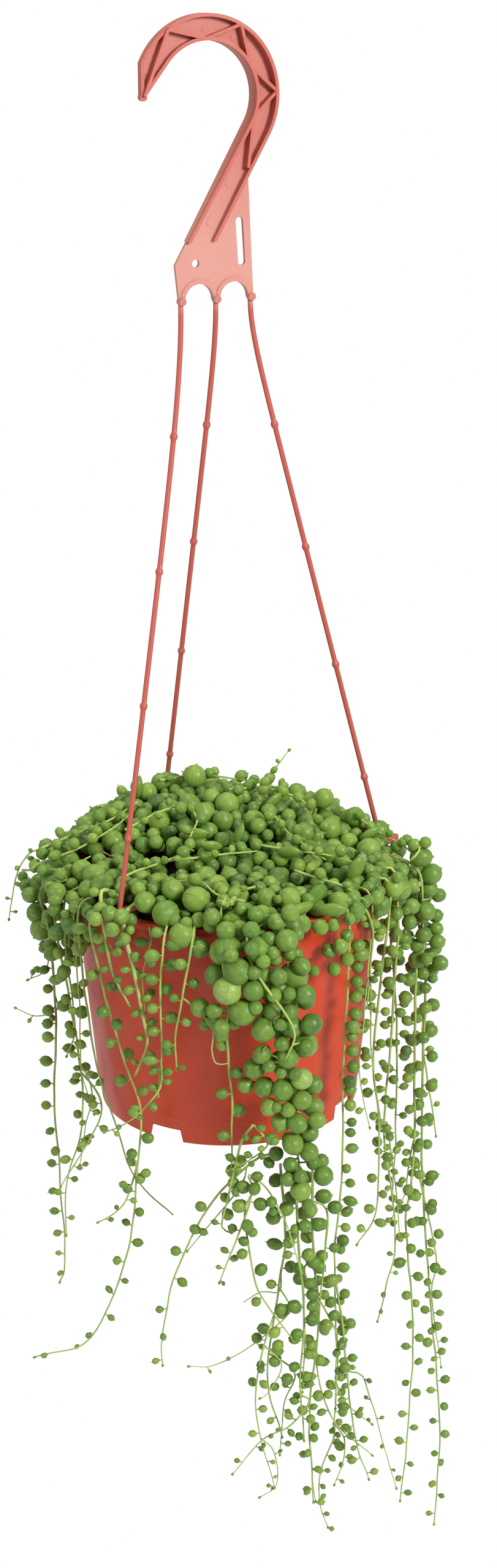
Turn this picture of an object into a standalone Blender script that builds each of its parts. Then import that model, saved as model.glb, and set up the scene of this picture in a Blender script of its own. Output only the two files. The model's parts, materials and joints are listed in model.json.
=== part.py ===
"""Potted string of pearls in a plastic hanging pot with a one-piece hanger.

Metres, +Z up. The origin is the point of the hook that bears the load, and
the pot hangs below it with its own axis on Z. The strong trailing growth and
the open side of the hook face -Y.
"""

import math

import bmesh
import bpy
from mathutils import Vector

MM = 0.001

# Hanger hook: a channel section whose web stands on edge between two flanges.
HOOK_TURN = math.radians(26)
HOOK_MOUTH_RADIUS = 21.7 * MM
HOOK_MOUTH_OFFSET = 3.8 * MM
HOOK_SECTION_HEIGHT = 10.6 * MM
FLANGE_THICKNESS = 1.4 * MM
INNER_FLANGE_FRONT = 3.6 * MM
INNER_FLANGE_BACK = 3.8 * MM
OUTER_FLANGE_FRONT = 3.2 * MM
OUTER_FLANGE_BACK = 2.9 * MM
FLANGE_END_FRONT = 1.6 * MM
FLANGE_END_BACK = 2.9 * MM
RIB_THICKNESS = 1.3 * MM
WEB_PLANE = 1.5 * MM
WEB_THICKNESS = 1.6 * MM
TIP_ARC_END = math.radians(140)
INNER_ARC_END = math.radians(-31)
OUTER_ARC_START = math.radians(155)
OUTER_ARC_END = math.radians(-29)
ARC_STEPS = 18
TIP_INNER = (-31.2 * MM, -20.6 * MM)
TIP_OUTER = (-33.2 * MM, -21.4 * MM)
TIP_RADIUS = 1.7 * MM
INNER_FLANGE_FOOT = (-13.6 * MM, -79.5 * MM)
OUTER_FLANGE_FOOT = (-0.6 * MM, -80.0 * MM)

# Hanger plate: the web below the hook, where the three strands start.
PLATE_LEFT_CORNER = (-18.9 * MM, -89.0 * MM)
PLATE_RIGHT_CORNER = (15.5 * MM, -53.5 * MM)
PLATE_FOOT = -104.0 * MM
SLOT_PLACE = (11.6 * MM, -80.8 * MM)
SLOT_LENGTH = 20.0 * MM
SLOT_WIDTH = 3.4 * MM
SLOT_TILT = math.radians(3)
EYELET_PLACE = (-9.4 * MM, -88.7 * MM)
EYELET_DIAMETER = 3.3 * MM
STRAND_SPACING = 16.3 * MM
PLATE_EDGE = 1.1 * MM
STRAND_DIAMETER = 2.3 * MM
ARCH_BEAD_DEPTH = 2.8 * MM
ARCH_BEAD_THICKNESS = 2.0 * MM
ARCH_EDGE = 0.2 * MM
ARCH_STEPS = 10
LEG_LENGTH = 2.0 * MM
LEG_OVERLAP = 3.0 * MM
BUMP_DIAMETER = 3.3 * MM
BUMP_LENGTH = 3.0 * MM
JOINT_GAP = 0.1 * MM

# Pot, measured down from the plane of its rim.
RIM_DROP = 360.0 * MM
LIP_RADIUS = 75.0 * MM
LIP_HEIGHT = 3.5 * MM
COLLAR_TOP_RADIUS = 72.3 * MM
COLLAR_FOOT_RADIUS = 70.8 * MM
COLLAR_HEIGHT = 20.0 * MM
BODY_TOP_RADIUS = 68.2 * MM
BODY_FOOT_RADIUS = 61.2 * MM
FOOT_TOP_RADIUS = 60.6 * MM
FOOT_RADIUS = 59.7 * MM
FOOT_HEIGHT = 11.0 * MM
POT_HEIGHT = 111.0 * MM
POT_WALL = 1.2 * MM
POT_FLOOR = 1.6 * MM
FLOOR_RISE = 5.0 * MM
EDGE_STEP = 0.8 * MM
NOTCH_COUNT = 4
NOTCH_FIRST = math.radians(61)
NOTCH_SPAN = math.radians(14)
NOTCH_HEIGHT = 6.5 * MM
DRAIN_COUNT = 6
DRAIN_LENGTH = 14.0 * MM
DRAIN_WIDTH = 3.4 * MM
DRAIN_RADIUS = 36.0 * MM
POT_STEPS = 56

# Potting mix.
MIX_DEPTH_BELOW_RIM = 13.0 * MM
MIX_DOME_RADIUS = 41.0 * MM
MIX_CLEARANCE = 0.3 * MM
MIX_CROWN = 2.5 * MM
MIX_STEPS = 28

# Strand clips on the rim, by their angle round the pot from +X, and how long
# each strand stays upright below the plate, as a share of its drop.
CLIP_LEFT = math.radians(232.8)
CLIP_MIDDLE = math.radians(112.8)
CLIP_RIGHT = math.radians(20.0)
BEND_LEFT = 0.12
BEND_MIDDLE = 0.06
BEND_RIGHT = 0.05
CLIP_CLEARANCE = 0.4 * MM
CLIP_WIDTH = 8.0 * MM
CLIP_THICKNESS = 2.4 * MM
CLIP_LEG_DROP = 14.0 * MM
CLIP_INNER_DROP = 5.0 * MM
CLIP_TONGUE_REACH = 8.0 * MM
CLIP_STEP = 0.2 * MM
STRAND_STEPS = 22
BUMP_COUNT = 4
BUMP_SPACING = 55.5 * MM
BUMP_SWELL = 1.45

# Leafy crown: how far it reaches from the axis every 30 degrees from +X.
CROWN_REACH = (86, 82, 78, 76, 80, 88, 91, 84, 80, 82, 82, 88)
CROWN_HEIGHT = 19.0 * MM
CROWN_UNDERSIDE = 0.8 * MM
CROWN_NECK_CLEARANCE = 0.5 * MM
CROWN_STEPS = 36
CROWN_BUMP = 1.6 * MM
CROWN_NOTCH_WIDTH = 10.0 * MM
# The crown's outline from its widest ring up: share of its height, share of its reach.
CROWN_OUTLINE = ((0.2, 1.0), (0.5, 0.93), (0.8, 0.74), (1.0, 0.42))
CROWN_UNDERSIDE_SHARE = 0.97
CLUSTER_DIMPLE = 0.06

# The crown, clusters and trailing stems were drawn round a rim of this radius,
# and move out or in with the rim.
DRAWN_RIM_RADIUS = 75.0 * MM

TRAIL_SEGMENT = 9.5 * MM
TRAIL_NECK = 0.45
TRAIL_THINNING = 0.45

# Each trailing stem: its girth and the points that it hangs through, in
# millimetres, from the axis and the plane of the rim.
TRAILS = {
    "stem_left_edge": (2.4, [(-83, -22, -2), (-79, -20, -41), (-79, -18, -72), (-81, -18, -106),
                             (-80, -18, -151), (-79, -18, -193), (-82, -18, -204)]),
    "stem_left_loop": (2.6, [(-72, -38, -3), (-70, -37, -46), (-69, -36, -64), (-73, -36, -77)]),
    "stem_left_long": (1.2, [(-65, -50, -3), (-61, -50, -60), (-55, -48, -92), (-44, -44, -133),
                             (-27, -40, -156)]),
    "stem_left_inner": (2.2, [(-77, -29, -3), (-70, -28, -65), (-67, -28, -98), (-69, -30, -120),
                              (-76, -32, -145), (-77, -34, -170)]),
    "stem_left_sweep": (2.6, [(-59, -60, -3), (-50, -62, -52), (-40, -62, -89), (-42, -60, -125),
                              (-48, -56, -168), (-66, -52, -213), (-93, -46, -227)]),
    "stem_front_pale": (1.8, [(-37, -74, -3), (-38, -74, -35), (-35, -73, -53), (-41, -72, -69)]),
    "stem_front_left": (2.9, [(-27, -78, -3), (-29, -77, -28), (-29, -77, -51), (-31, -77, -77)]),
    "stem_front_loop": (2.5, [(-15, -82, -3), (-20, -83, -30), (-23, -84, -45), (-23, -84, -61)]),
    "stem_front_mid": (2.6, [(0, -86, -55), (1, -86, -76), (0, -86, -101)]),
    "stem_front_thin": (1.3, [(10, -92, -84), (4, -91, -95), (-2, -90, -123), (-4, -90, -135)]),
    "stem_fall_left": (2.2, [(10, -82, -107), (-7, -82, -125), (-24, -80, -160), (-32, -78, -198)]),
    "stem_fall_mid": (2.6, [(10, -92, -114), (6, -93, -129), (-6, -93, -161)]),
    "stem_tangle_left": (3.3, [(22, -76, -116), (24, -75, -147), (20, -73, -182), (15, -72, -222),
                               (22, -72, -256)]),
    "stem_tangle_mid": (3.4, [(29, -87, -114), (29, -86, -142), (32, -84, -181), (30, -83, -220),
                              (32, -82, -251)]),
    "stem_tangle_right": (3.3, [(37, -72, -115), (36, -70, -150), (39, -67, -196), (35, -64, -247),
                                (37, -62, -299)]),
    "stem_tangle_tip": (1.5, [(12, -88, -205), (10, -86, -235), (18, -84, -275)]),
    "stem_right_front": (3.0, [(53, -60, -3), (51, -58, -61), (50, -56, -132), (47, -54, -168),
                               (48, -53, -228), (47, -52, -273)]),
    "stem_right_tip": (2.2, [(49, -67, -196), (53, -66, -231), (57, -64, -267), (63, -62, -287)]),
    "stem_right_bow": (1.6, [(64, -44, -3), (60, -41, -64), (59, -40, -88), (64, -40, -113)]),
    "stem_right_beaded": (3.0, [(73, -32, -3), (66, -30, -75), (69, -30, -125), (67, -30, -164),
                                (59, -30, -180)]),
    "stem_right_thin": (2.3, [(77, -19, -3), (75, -17, -78), (72, -15, -123), (78, -13, -183),
                              (74, -11, -214), (70, -10, -234)]),
    "stem_right_back": (2.6, [(76, 14, -38), (80, 16, -94), (80, 18, -140), (79, 20, -181)]),
    "stem_right_long": (3.0, [(87, -6, -54), (87, -4, -94), (87, -2, -153), (84, -1, -187),
                              (88, -1, -245), (87, 0, -290), (83, 0, -344)]),
    "stem_right_outer": (3.0, [(93, 9, -56), (92, 9, -100), (92, 8, -157), (96, 8, -217),
                               (101, 8, -277), (103, 8, -312), (101, 8, -364)]),
    "stem_right_curl": (2.4, [(94, 24, -54), (94, 28, -106), (101, 30, -155)]),
    "stem_back_right": (2.6, [(58, 57, -3), (57, 58, -50), (54, 59, -98)]),
    "stem_back": (2.6, [(14, 81, -3), (12, 82, -45), (15, 83, -86)]),
    "stem_back_left": (2.6, [(-55, 60, -3), (-54, 61, -55), (-50, 62, -104)]),
}

# Clusters of big pearls: place and half-sizes in millimetres, same frame.
CLUSTERS = {
    "cluster_left": ((-90, -4, -13), (11, 17, 12.5)),
    "cluster_right": ((90, 4, -24), (11, 21, 24)),
    "cluster_front": ((-1, -87, -24), (12, 10, 23)),
    "cluster_fall": ((27, -85, -55), (13, 11, 52)),
}


def remove_objects():
    """Empty the scene."""
    for old in list(bpy.data.objects):
        bpy.data.objects.remove(old, do_unlink=True)


def make_collection(name, parent):
    """A collection under its parent, made once."""
    made = bpy.data.collections.new(name)
    parent.children.link(made)
    return made


def plastic(name, colour, roughness):
    """A Principled material."""
    made = bpy.data.materials.new(name)
    made.use_nodes = True
    shader = made.node_tree.nodes["Principled BSDF"]
    shader.inputs["Base Color"].default_value = (*colour, 1.0)
    shader.inputs["Roughness"].default_value = roughness
    shader.inputs["Metallic"].default_value = 0.0
    made.diffuse_color = (*colour, 1.0)
    return made


def pot_plastic():
    """Terracotta-coloured polypropylene of the pot."""
    return plastic("pot_plastic", (0.45, 0.07, 0.026), 0.42)


def hanger_plastic():
    """Paler moulding of the hanger."""
    return plastic("hanger_plastic", (0.62, 0.13, 0.085), 0.45)


def potting_mix_material():
    """Dark peaty mix."""
    return plastic("potting_mix", (0.022, 0.015, 0.01), 0.95)


def crown_green():
    """Pearls of the crown."""
    return plastic("crown_green", (0.11, 0.26, 0.045), 0.4)


def cluster_green():
    """Pearls of the big clusters."""
    return plastic("cluster_green", (0.12, 0.29, 0.05), 0.38)


def stem_green():
    """Trailing stems with their pearls."""
    return plastic("stem_green", (0.14, 0.31, 0.06), 0.4)


def new_object(name, mesh, collection, parent=None, material=None):
    """An object of a mesh, linked, parented and given its material."""
    made = bpy.data.objects.new(name, mesh)
    collection.objects.link(made)
    made.parent = parent
    if material:
        mesh.materials.append(material)
    return made


def frame_empty(name, collection, height=0.0, turn=0.0):
    """An empty that carries a group of parts."""
    made = bpy.data.objects.new(name, None)
    collection.objects.link(made)
    made.location = (0.0, 0.0, height)
    made.rotation_euler = (0.0, 0.0, turn)
    return made


def mesh_of(name, bm):
    """A mesh of a bmesh, with its normals facing out."""
    bmesh.ops.recalc_face_normals(bm, faces=bm.faces)
    mesh = bpy.data.meshes.new(name)
    bm.to_mesh(mesh)
    bm.free()
    return mesh


def smooth(obj):
    """Shade a round piece smooth."""
    for face in obj.data.polygons:
        face.use_smooth = True


def arc(centre, radius, start, end, steps):
    """Points of an arc in the plane of the web."""
    return [
        (centre[0] + radius * math.cos(start + (end - start) * i / steps),
         centre[1] + radius * math.sin(start + (end - start) * i / steps))
        for i in range(steps + 1)
    ]


def prism(name, outline, front, back):
    """A slab in the plane of the web between two depths."""
    bm = bmesh.new()
    near = [bm.verts.new((x, -front, z)) for x, z in outline]
    far = [bm.verts.new((x, back, z)) for x, z in outline]
    bm.faces.new(near)
    bm.faces.new(list(reversed(far)))
    count = len(outline)
    for i in range(count):
        j = (i + 1) % count
        bm.faces.new((near[j], near[i], far[i], far[j]))
    return mesh_of(name, bm)


def side_of(path, index):
    """The unit vector square to a path, to its left, at one of its points."""
    before = Vector(path[max(index - 1, 0)])
    after = Vector(path[min(index + 1, len(path) - 1)])
    along = (after - before).normalized()
    return Vector((-along.y, along.x))


def ribbon(name, path, thickness, depths):
    """A strip that stands on the web along a path; its left side is the path.

    The depths are one (front, back) pair for each point of the path.
    """
    bm = bmesh.new()
    rings = []
    for i, point in enumerate(path):
        left = Vector(point)
        right = left - side_of(path, i) * thickness
        front, back = depths[i]
        rings.append([
            bm.verts.new((left.x, -front, left.y)),
            bm.verts.new((right.x, -front, right.y)),
            bm.verts.new((right.x, back, right.y)),
            bm.verts.new((left.x, back, left.y)),
        ])
    for one, two in zip(rings, rings[1:]):
        for k in range(4):
            n = (k + 1) % 4
            bm.faces.new((one[k], one[n], two[n], two[k]))
    bm.faces.new(rings[0])
    bm.faces.new(list(reversed(rings[-1])))
    bmesh.ops.triangulate(bm, faces=bm.faces)
    return mesh_of(name, bm)


def cylinder_mesh(name, radius, length, segments):
    """A cylinder about its own Z, centred."""
    bm = bmesh.new()
    bmesh.ops.create_cone(
        bm, cap_ends=True, segments=segments, radius1=radius, radius2=radius, depth=length
    )
    return mesh_of(name, bm)


def box_mesh(name, size):
    """A box centred on its own origin."""
    bm = bmesh.new()
    bmesh.ops.create_cube(bm, size=1.0)
    bmesh.ops.scale(bm, vec=size, verts=bm.verts)
    return mesh_of(name, bm)


def boolean(obj, other, operation):
    """Join or cut with another object, by the exact solver."""
    step = obj.modifiers.new(f"{operation.lower()}_{other.name}", "BOOLEAN")
    step.operation = operation
    step.solver = "EXACT"
    step.object = other


def helper(name, mesh, cutters, parent=None):
    """A cutter or a piece to be joined, hidden from renders."""
    made = new_object(name, mesh, cutters, parent)
    made.hide_render = True
    made.display_type = "WIRE"
    return made


def mouth_centre():
    """The centre of the hook's mouth; its surface passes through the origin."""
    return (-HOOK_MOUTH_OFFSET, -math.sqrt(HOOK_MOUTH_RADIUS**2 - HOOK_MOUTH_OFFSET**2))


def inner_path():
    """The bearing line from the hook's tip down to the end of the inner flange."""
    curve = arc(mouth_centre(), HOOK_MOUTH_RADIUS, TIP_ARC_END, INNER_ARC_END, ARC_STEPS)
    return [TIP_INNER] + curve + [INNER_FLANGE_FOOT]


def outer_path():
    """The outer line of the hook from its tip down to the plate's right corner."""
    radius = HOOK_MOUTH_RADIUS + HOOK_SECTION_HEIGHT
    curve = arc(mouth_centre(), radius, OUTER_ARC_START, OUTER_ARC_END, ARC_STEPS)
    return [TIP_OUTER] + curve


def inner_flange():
    """Strip outside the bearing line, shallower at its foot."""
    path = inner_path()
    path.reverse()
    depths = [(INNER_FLANGE_FRONT, INNER_FLANGE_BACK)] * len(path)
    depths[0] = (FLANGE_END_FRONT, FLANGE_END_BACK)
    return ribbon("inner_flange", path, FLANGE_THICKNESS, depths)


def outer_flange():
    """Strip inside the outer line, which runs on across the plate as a rib."""
    path = outer_path() + [OUTER_FLANGE_FOOT]
    depths = [(OUTER_FLANGE_FRONT, OUTER_FLANGE_BACK)] * len(path)
    depths[-1] = (FLANGE_END_FRONT, WEB_PLANE)
    return ribbon("outer_flange", path, FLANGE_THICKNESS, depths)


def web_outline():
    """The web from flange to flange, with the plate below."""
    inset = FLANGE_THICKNESS / 2
    inner = arc(mouth_centre(), HOOK_MOUTH_RADIUS + inset, TIP_ARC_END, INNER_ARC_END, ARC_STEPS)
    radius = HOOK_MOUTH_RADIUS + HOOK_SECTION_HEIGHT - inset
    outer = arc(mouth_centre(), radius, OUTER_ARC_START, OUTER_ARC_END, ARC_STEPS)
    foot = (INNER_FLANGE_FOOT[0], INNER_FLANGE_FOOT[1] - inset)
    half_width = STRAND_SPACING + PLATE_EDGE
    left = [foot, PLATE_LEFT_CORNER, (-half_width, PLATE_FOOT)]
    for side in (-1, 1):
        left += arc((side * STRAND_SPACING / 2, PLATE_FOOT), arch_radius(), math.pi, 0.0, ARCH_STEPS)
    right = [(half_width, PLATE_FOOT), PLATE_RIGHT_CORNER]
    tip = [(TIP_OUTER[0] + inset / 2, TIP_OUTER[1] - inset), (TIP_INNER[0] - inset / 2, TIP_INNER[1] - inset)]
    return tip + inner + left + right + list(reversed(outer))


def rib_paths():
    """The zigzag bracing between the flanges, as pairs of end points."""
    half = FLANGE_THICKNESS / 2
    low = HOOK_MOUTH_RADIUS + half
    high = HOOK_MOUTH_RADIUS + HOOK_SECTION_HEIGHT - half
    places = (
        (high, 123.5), (low, 91), (high, 61), (low, 29.5), (high, 1.5), (low, -23.5),
    )
    centre = mouth_centre()
    tip = ((TIP_INNER[0] + TIP_OUTER[0]) / 2, TIP_INNER[1])
    knots = [tip]
    for radius, degrees in places:
        turn = math.radians(degrees)
        knots.append((centre[0] + radius * math.cos(turn), centre[1] + radius * math.sin(turn)))
    foot = (PLATE_RIGHT_CORNER[0] - FLANGE_THICKNESS, PLATE_RIGHT_CORNER[1] + FLANGE_THICKNESS * 2)
    return list(zip(knots, knots[1:])) + [(knots[-1], foot)]


def rib(index, ends):
    """One straight rib, centred on its line."""
    middle = side_of(ends, 0) * (RIB_THICKNESS / 2)
    path = [tuple(Vector(end) + middle) for end in ends]
    depth = (OUTER_FLANGE_FRONT - JOINT_GAP, WEB_PLANE)
    return ribbon(f"rib_{index}", path, RIB_THICKNESS, [depth, depth])


def arch_radius():
    """Half the clear width between two strands, less the web's edge beside each."""
    return (STRAND_SPACING - STRAND_DIAMETER) / 2 - ARCH_EDGE


def arch_bead(name, across):
    """The round edge over the gap between two strands."""
    curve = arc((across, PLATE_FOOT + ARCH_EDGE), arch_radius() - ARCH_EDGE, math.pi, 0.0, ARCH_STEPS)
    half = ARCH_BEAD_DEPTH / 2
    depth = (half - WEB_PLANE, half + WEB_PLANE)
    return ribbon(name, curve, -ARCH_BEAD_THICKNESS, [depth] * len(curve))


def plate_legs(cutters, parent):
    """The tops of the three strands with their first bumps."""
    found = []
    for i in (-1, 0, 1):
        leg = helper(
            f"leg_{i + 1}",
            cylinder_mesh(f"leg_{i + 1}", STRAND_DIAMETER / 2, LEG_LENGTH + LEG_OVERLAP, 8),
            cutters, parent,
        )
        leg.location = (i * STRAND_SPACING, WEB_PLANE,
                        PLATE_FOOT - LEG_LENGTH + (LEG_LENGTH + LEG_OVERLAP) / 2)
        bump = helper(
            f"leg_bump_{i + 1}", cylinder_mesh(f"leg_bump_{i + 1}", BUMP_DIAMETER / 2, BUMP_LENGTH, 12),
            cutters, parent,
        )
        bump.location = (i * STRAND_SPACING, WEB_PLANE - BUMP_LENGTH / 4, PLATE_FOOT)
        bump.rotation_euler = (math.pi / 2, 0.0, 0.0)
        found += [leg, bump]
    return found


def tip_post(cutters, parent):
    """The round end that closes both flanges at the tip."""
    depth = INNER_FLANGE_FRONT + INNER_FLANGE_BACK - 2 * JOINT_GAP
    post = helper("tip_post", cylinder_mesh("tip_post", TIP_RADIUS, depth, 14), cutters, parent)
    post.location = ((TIP_INNER[0] + TIP_OUTER[0]) / 2, 0.0, (TIP_INNER[1] + TIP_OUTER[1]) / 2)
    post.rotation_euler = (math.pi / 2, 0.0, 0.0)
    return post


def slot_outline():
    """The long slot in the plate, round at both ends."""
    half = SLOT_WIDTH / 2
    reach = SLOT_LENGTH / 2 - half
    axis = Vector((math.sin(SLOT_TILT), -math.cos(SLOT_TILT)))
    turn = -math.pi / 2 + SLOT_TILT
    low = Vector(SLOT_PLACE) + axis * reach
    high = Vector(SLOT_PLACE) - axis * reach
    lower = arc(low, half, turn - math.pi / 2, turn + math.pi / 2, 6)
    upper = arc(high, half, turn + math.pi / 2, turn + 3 * math.pi / 2, 6)
    return lower + upper


def build_hook(parts, cutters, frame, material):
    """Hook, web plate, ribs and arches as one moulding."""
    half = WEB_THICKNESS / 2
    hook = new_object(
        "hanger_hook",
        prism("hanger_hook", web_outline(), half - WEB_PLANE, half + WEB_PLANE),
        parts, frame, material,
    )
    joined = [helper("inner_flange", inner_flange(), cutters, frame),
              helper("outer_flange", outer_flange(), cutters, frame)]
    joined += [helper(f"rib_{i}", rib(i, ends), cutters, frame) for i, ends in enumerate(rib_paths())]
    cut = [helper("slot", prism("slot", slot_outline(), WEB_THICKNESS, 3 * WEB_THICKNESS), cutters, frame)]
    for side in (-1, 1):
        across = side * STRAND_SPACING / 2
        joined.append(helper(f"arch_bead_{side}", arch_bead("arch_bead", across), cutters, frame))
    eyelet = helper(
        "eyelet", cylinder_mesh("eyelet", EYELET_DIAMETER / 2, 4 * WEB_THICKNESS, 16), cutters, frame)
    eyelet.location = (EYELET_PLACE[0], WEB_PLANE, EYELET_PLACE[1])
    eyelet.rotation_euler = (math.pi / 2, 0.0, 0.0)
    for other in joined + [tip_post(cutters, frame)] + plate_legs(cutters, frame):
        boolean(hook, other, "UNION")
    for other in cut + [eyelet]:
        boolean(hook, other, "DIFFERENCE")
    return hook


def pot_profile():
    """The wall's section, from the floor's top over the rim to the floor's underside."""
    lip_in = COLLAR_TOP_RADIUS - POT_WALL
    floor_top = -POT_HEIGHT + FLOOR_RISE + POT_FLOOR
    foot_in = FOOT_RADIUS - POT_WALL
    inner = [
        (0.0, floor_top),
        (BODY_FOOT_RADIUS - POT_WALL, floor_top),
        (BODY_TOP_RADIUS - POT_WALL, -COLLAR_HEIGHT),
        (COLLAR_FOOT_RADIUS - POT_WALL, -COLLAR_HEIGHT + EDGE_STEP),
        (lip_in, -LIP_HEIGHT),
        (lip_in, -EDGE_STEP),
        (lip_in + EDGE_STEP, 0.0),
    ]
    outer = [
        (LIP_RADIUS - EDGE_STEP, 0.0),
        (LIP_RADIUS, -EDGE_STEP),
        (LIP_RADIUS, -LIP_HEIGHT + EDGE_STEP),
        (LIP_RADIUS - EDGE_STEP, -LIP_HEIGHT),
        (COLLAR_TOP_RADIUS, -LIP_HEIGHT - EDGE_STEP / 2),
        (COLLAR_FOOT_RADIUS, -COLLAR_HEIGHT),
        (BODY_TOP_RADIUS, -COLLAR_HEIGHT - EDGE_STEP),
        (BODY_FOOT_RADIUS, -POT_HEIGHT + FOOT_HEIGHT),
        (FOOT_TOP_RADIUS, -POT_HEIGHT + FOOT_HEIGHT),
        (FOOT_RADIUS, -POT_HEIGHT),
        (foot_in, -POT_HEIGHT),
        (foot_in, -POT_HEIGHT + FLOOR_RISE),
        (0.0, -POT_HEIGHT + FLOOR_RISE),
    ]
    return inner + outer


def turned(name, profile, steps, collection, parent, material):
    """A solid of revolution about Z of a section of (radius, height) points."""
    mesh = bpy.data.meshes.new(name)
    mesh.from_pydata([(r, 0.0, z) for r, z in profile],
                     [(i, i + 1) for i in range(len(profile) - 1)], [])
    made = new_object(name, mesh, collection, parent, material)
    screw = made.modifiers.new("turned", "SCREW")
    screw.axis = "Z"
    screw.steps = steps
    screw.render_steps = steps
    screw.use_merge_vertices = True
    screw.merge_threshold = 1e-5
    screw.use_smooth_shade = True
    screw.use_normal_calculate = True
    return made


def build_pot(parts, cutters, frame, material):
    """Tapered pot with a lip, a collar, a notched foot and drain slots."""
    pot = turned("pot", pot_profile(), POT_STEPS, parts, frame, material)
    notch_width = 2 * FOOT_RADIUS * math.sin(NOTCH_SPAN / 2)
    for i in range(NOTCH_COUNT):
        turn = NOTCH_FIRST + i * 2 * math.pi / NOTCH_COUNT
        size = (4 * POT_WALL, notch_width, 2 * NOTCH_HEIGHT)
        notch = helper(f"notch_{i}", box_mesh(f"notch_{i}", size), cutters, frame)
        reach = FOOT_RADIUS - POT_WALL / 2
        notch.location = (reach * math.cos(turn), reach * math.sin(turn), -POT_HEIGHT)
        notch.rotation_euler = (0.0, 0.0, turn)
        boolean(pot, notch, "DIFFERENCE")
    for i in range(DRAIN_COUNT):
        turn = (i + 0.5) * 2 * math.pi / DRAIN_COUNT
        size = (DRAIN_LENGTH, DRAIN_WIDTH, 4 * POT_FLOOR)
        drain = helper(f"drain_{i}", box_mesh(f"drain_{i}", size), cutters, frame)
        drain.location = (DRAIN_RADIUS * math.cos(turn), DRAIN_RADIUS * math.sin(turn),
                          -POT_HEIGHT + FLOOR_RISE + POT_FLOOR / 2)
        drain.rotation_euler = (0.0, 0.0, turn)
        boolean(pot, drain, "DIFFERENCE")
    return pot


def build_mix(parts, frame, material):
    """Potting mix that fills the pot to below the rim."""
    gap = POT_WALL + MIX_CLEARANCE
    bottom = -POT_HEIGHT + FLOOR_RISE + POT_FLOOR + MIX_CLEARANCE
    shoulder = -COLLAR_HEIGHT - MIX_CLEARANCE
    profile = [
        (0.0, -MIX_DEPTH_BELOW_RIM),
        (MIX_DOME_RADIUS, -MIX_DEPTH_BELOW_RIM - MIX_CROWN / 3),
        (BODY_TOP_RADIUS - gap, -MIX_DEPTH_BELOW_RIM - MIX_CROWN),
        (BODY_TOP_RADIUS - gap, shoulder),
        (BODY_FOOT_RADIUS - gap, bottom),
        (0.0, bottom),
    ]
    return turned("potting_mix", profile, MIX_STEPS, parts, frame, material)


def crown_reach(turn):
    """How far the leafy crown reaches from the axis in one direction."""
    share = (turn / (2 * math.pi)) % 1.0 * len(CROWN_REACH)
    low = int(share) % len(CROWN_REACH)
    high = (low + 1) % len(CROWN_REACH)
    ease = (1 - math.cos((share - int(share)) * math.pi)) / 2
    drawn = (CROWN_REACH[low] * (1 - ease) + CROWN_REACH[high] * ease) * MM
    return drawn + LIP_RADIUS - DRAWN_RIM_RADIUS


def crown_rings():
    """Heights of the crown's rings and their share of its reach; none means the neck."""
    neck = [(-MIX_DEPTH_BELOW_RIM + CROWN_NECK_CLEARANCE, None), (CROWN_UNDERSIDE, None)]
    above = [(CROWN_HEIGHT * height, reach) for height, reach in CROWN_OUTLINE]
    return neck + [(CROWN_UNDERSIDE, CROWN_UNDERSIDE_SHARE)] + above


def build_crown(parts, cutters, frame, material):
    """The leafy crown over the mix and the rim, notched round each clip."""
    neck = COLLAR_TOP_RADIUS - POT_WALL - CROWN_NECK_CLEARANCE - EDGE_STEP * 2
    bm = bmesh.new()
    rings = []
    for level, (height, share) in enumerate(crown_rings()):
        ring = []
        for k in range(CROWN_STEPS):
            turn = 2 * math.pi * k / CROWN_STEPS
            lump = CROWN_BUMP * (k % 2 * 2 - 1) * (level % 2 * 2 - 1) * (share is not None)
            reach = neck if share is None else crown_reach(turn) * share + lump * (level > 2)
            ring.append(bm.verts.new((reach * math.cos(turn), reach * math.sin(turn), height)))
        rings.append(ring)
    for one, two in zip(rings, rings[1:]):
        for k in range(CROWN_STEPS):
            n = (k + 1) % CROWN_STEPS
            bm.faces.new((one[k], one[n], two[n], two[k]))
    bm.faces.new(list(reversed(rings[0])))
    bm.faces.new(rings[-1])
    bmesh.ops.triangulate(bm, faces=bm.faces)
    crown = new_object("crown", mesh_of("crown", bm), parts, frame, material)
    for label, turn in clip_turns().items():
        inner = clip_inner_reach() - CLIP_THICKNESS - 2 * CLIP_CLEARANCE
        outer = LIP_RADIUS + 4 * CLIP_TONGUE_REACH
        size = (outer - inner, CROWN_NOTCH_WIDTH, 2 * (CROWN_HEIGHT + MIX_DEPTH_BELOW_RIM))
        notch = helper(f"crown_notch_{label}", box_mesh(f"crown_notch_{label}", size), cutters, frame)
        middle = (outer + inner) / 2
        notch.location = (middle * math.cos(turn), middle * math.sin(turn), 0.0)
        notch.rotation_euler = (0.0, 0.0, turn)
        boolean(crown, notch, "DIFFERENCE")
    smooth(crown)
    return crown


def clip_turns():
    """The angle of each strand's clip round the rim."""
    return {"left": CLIP_LEFT, "middle": CLIP_MIDDLE, "right": CLIP_RIGHT}


def strand_bends():
    """How long each strand stays upright below the plate."""
    return {"left": BEND_LEFT, "middle": BEND_MIDDLE, "right": BEND_RIGHT}


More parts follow.
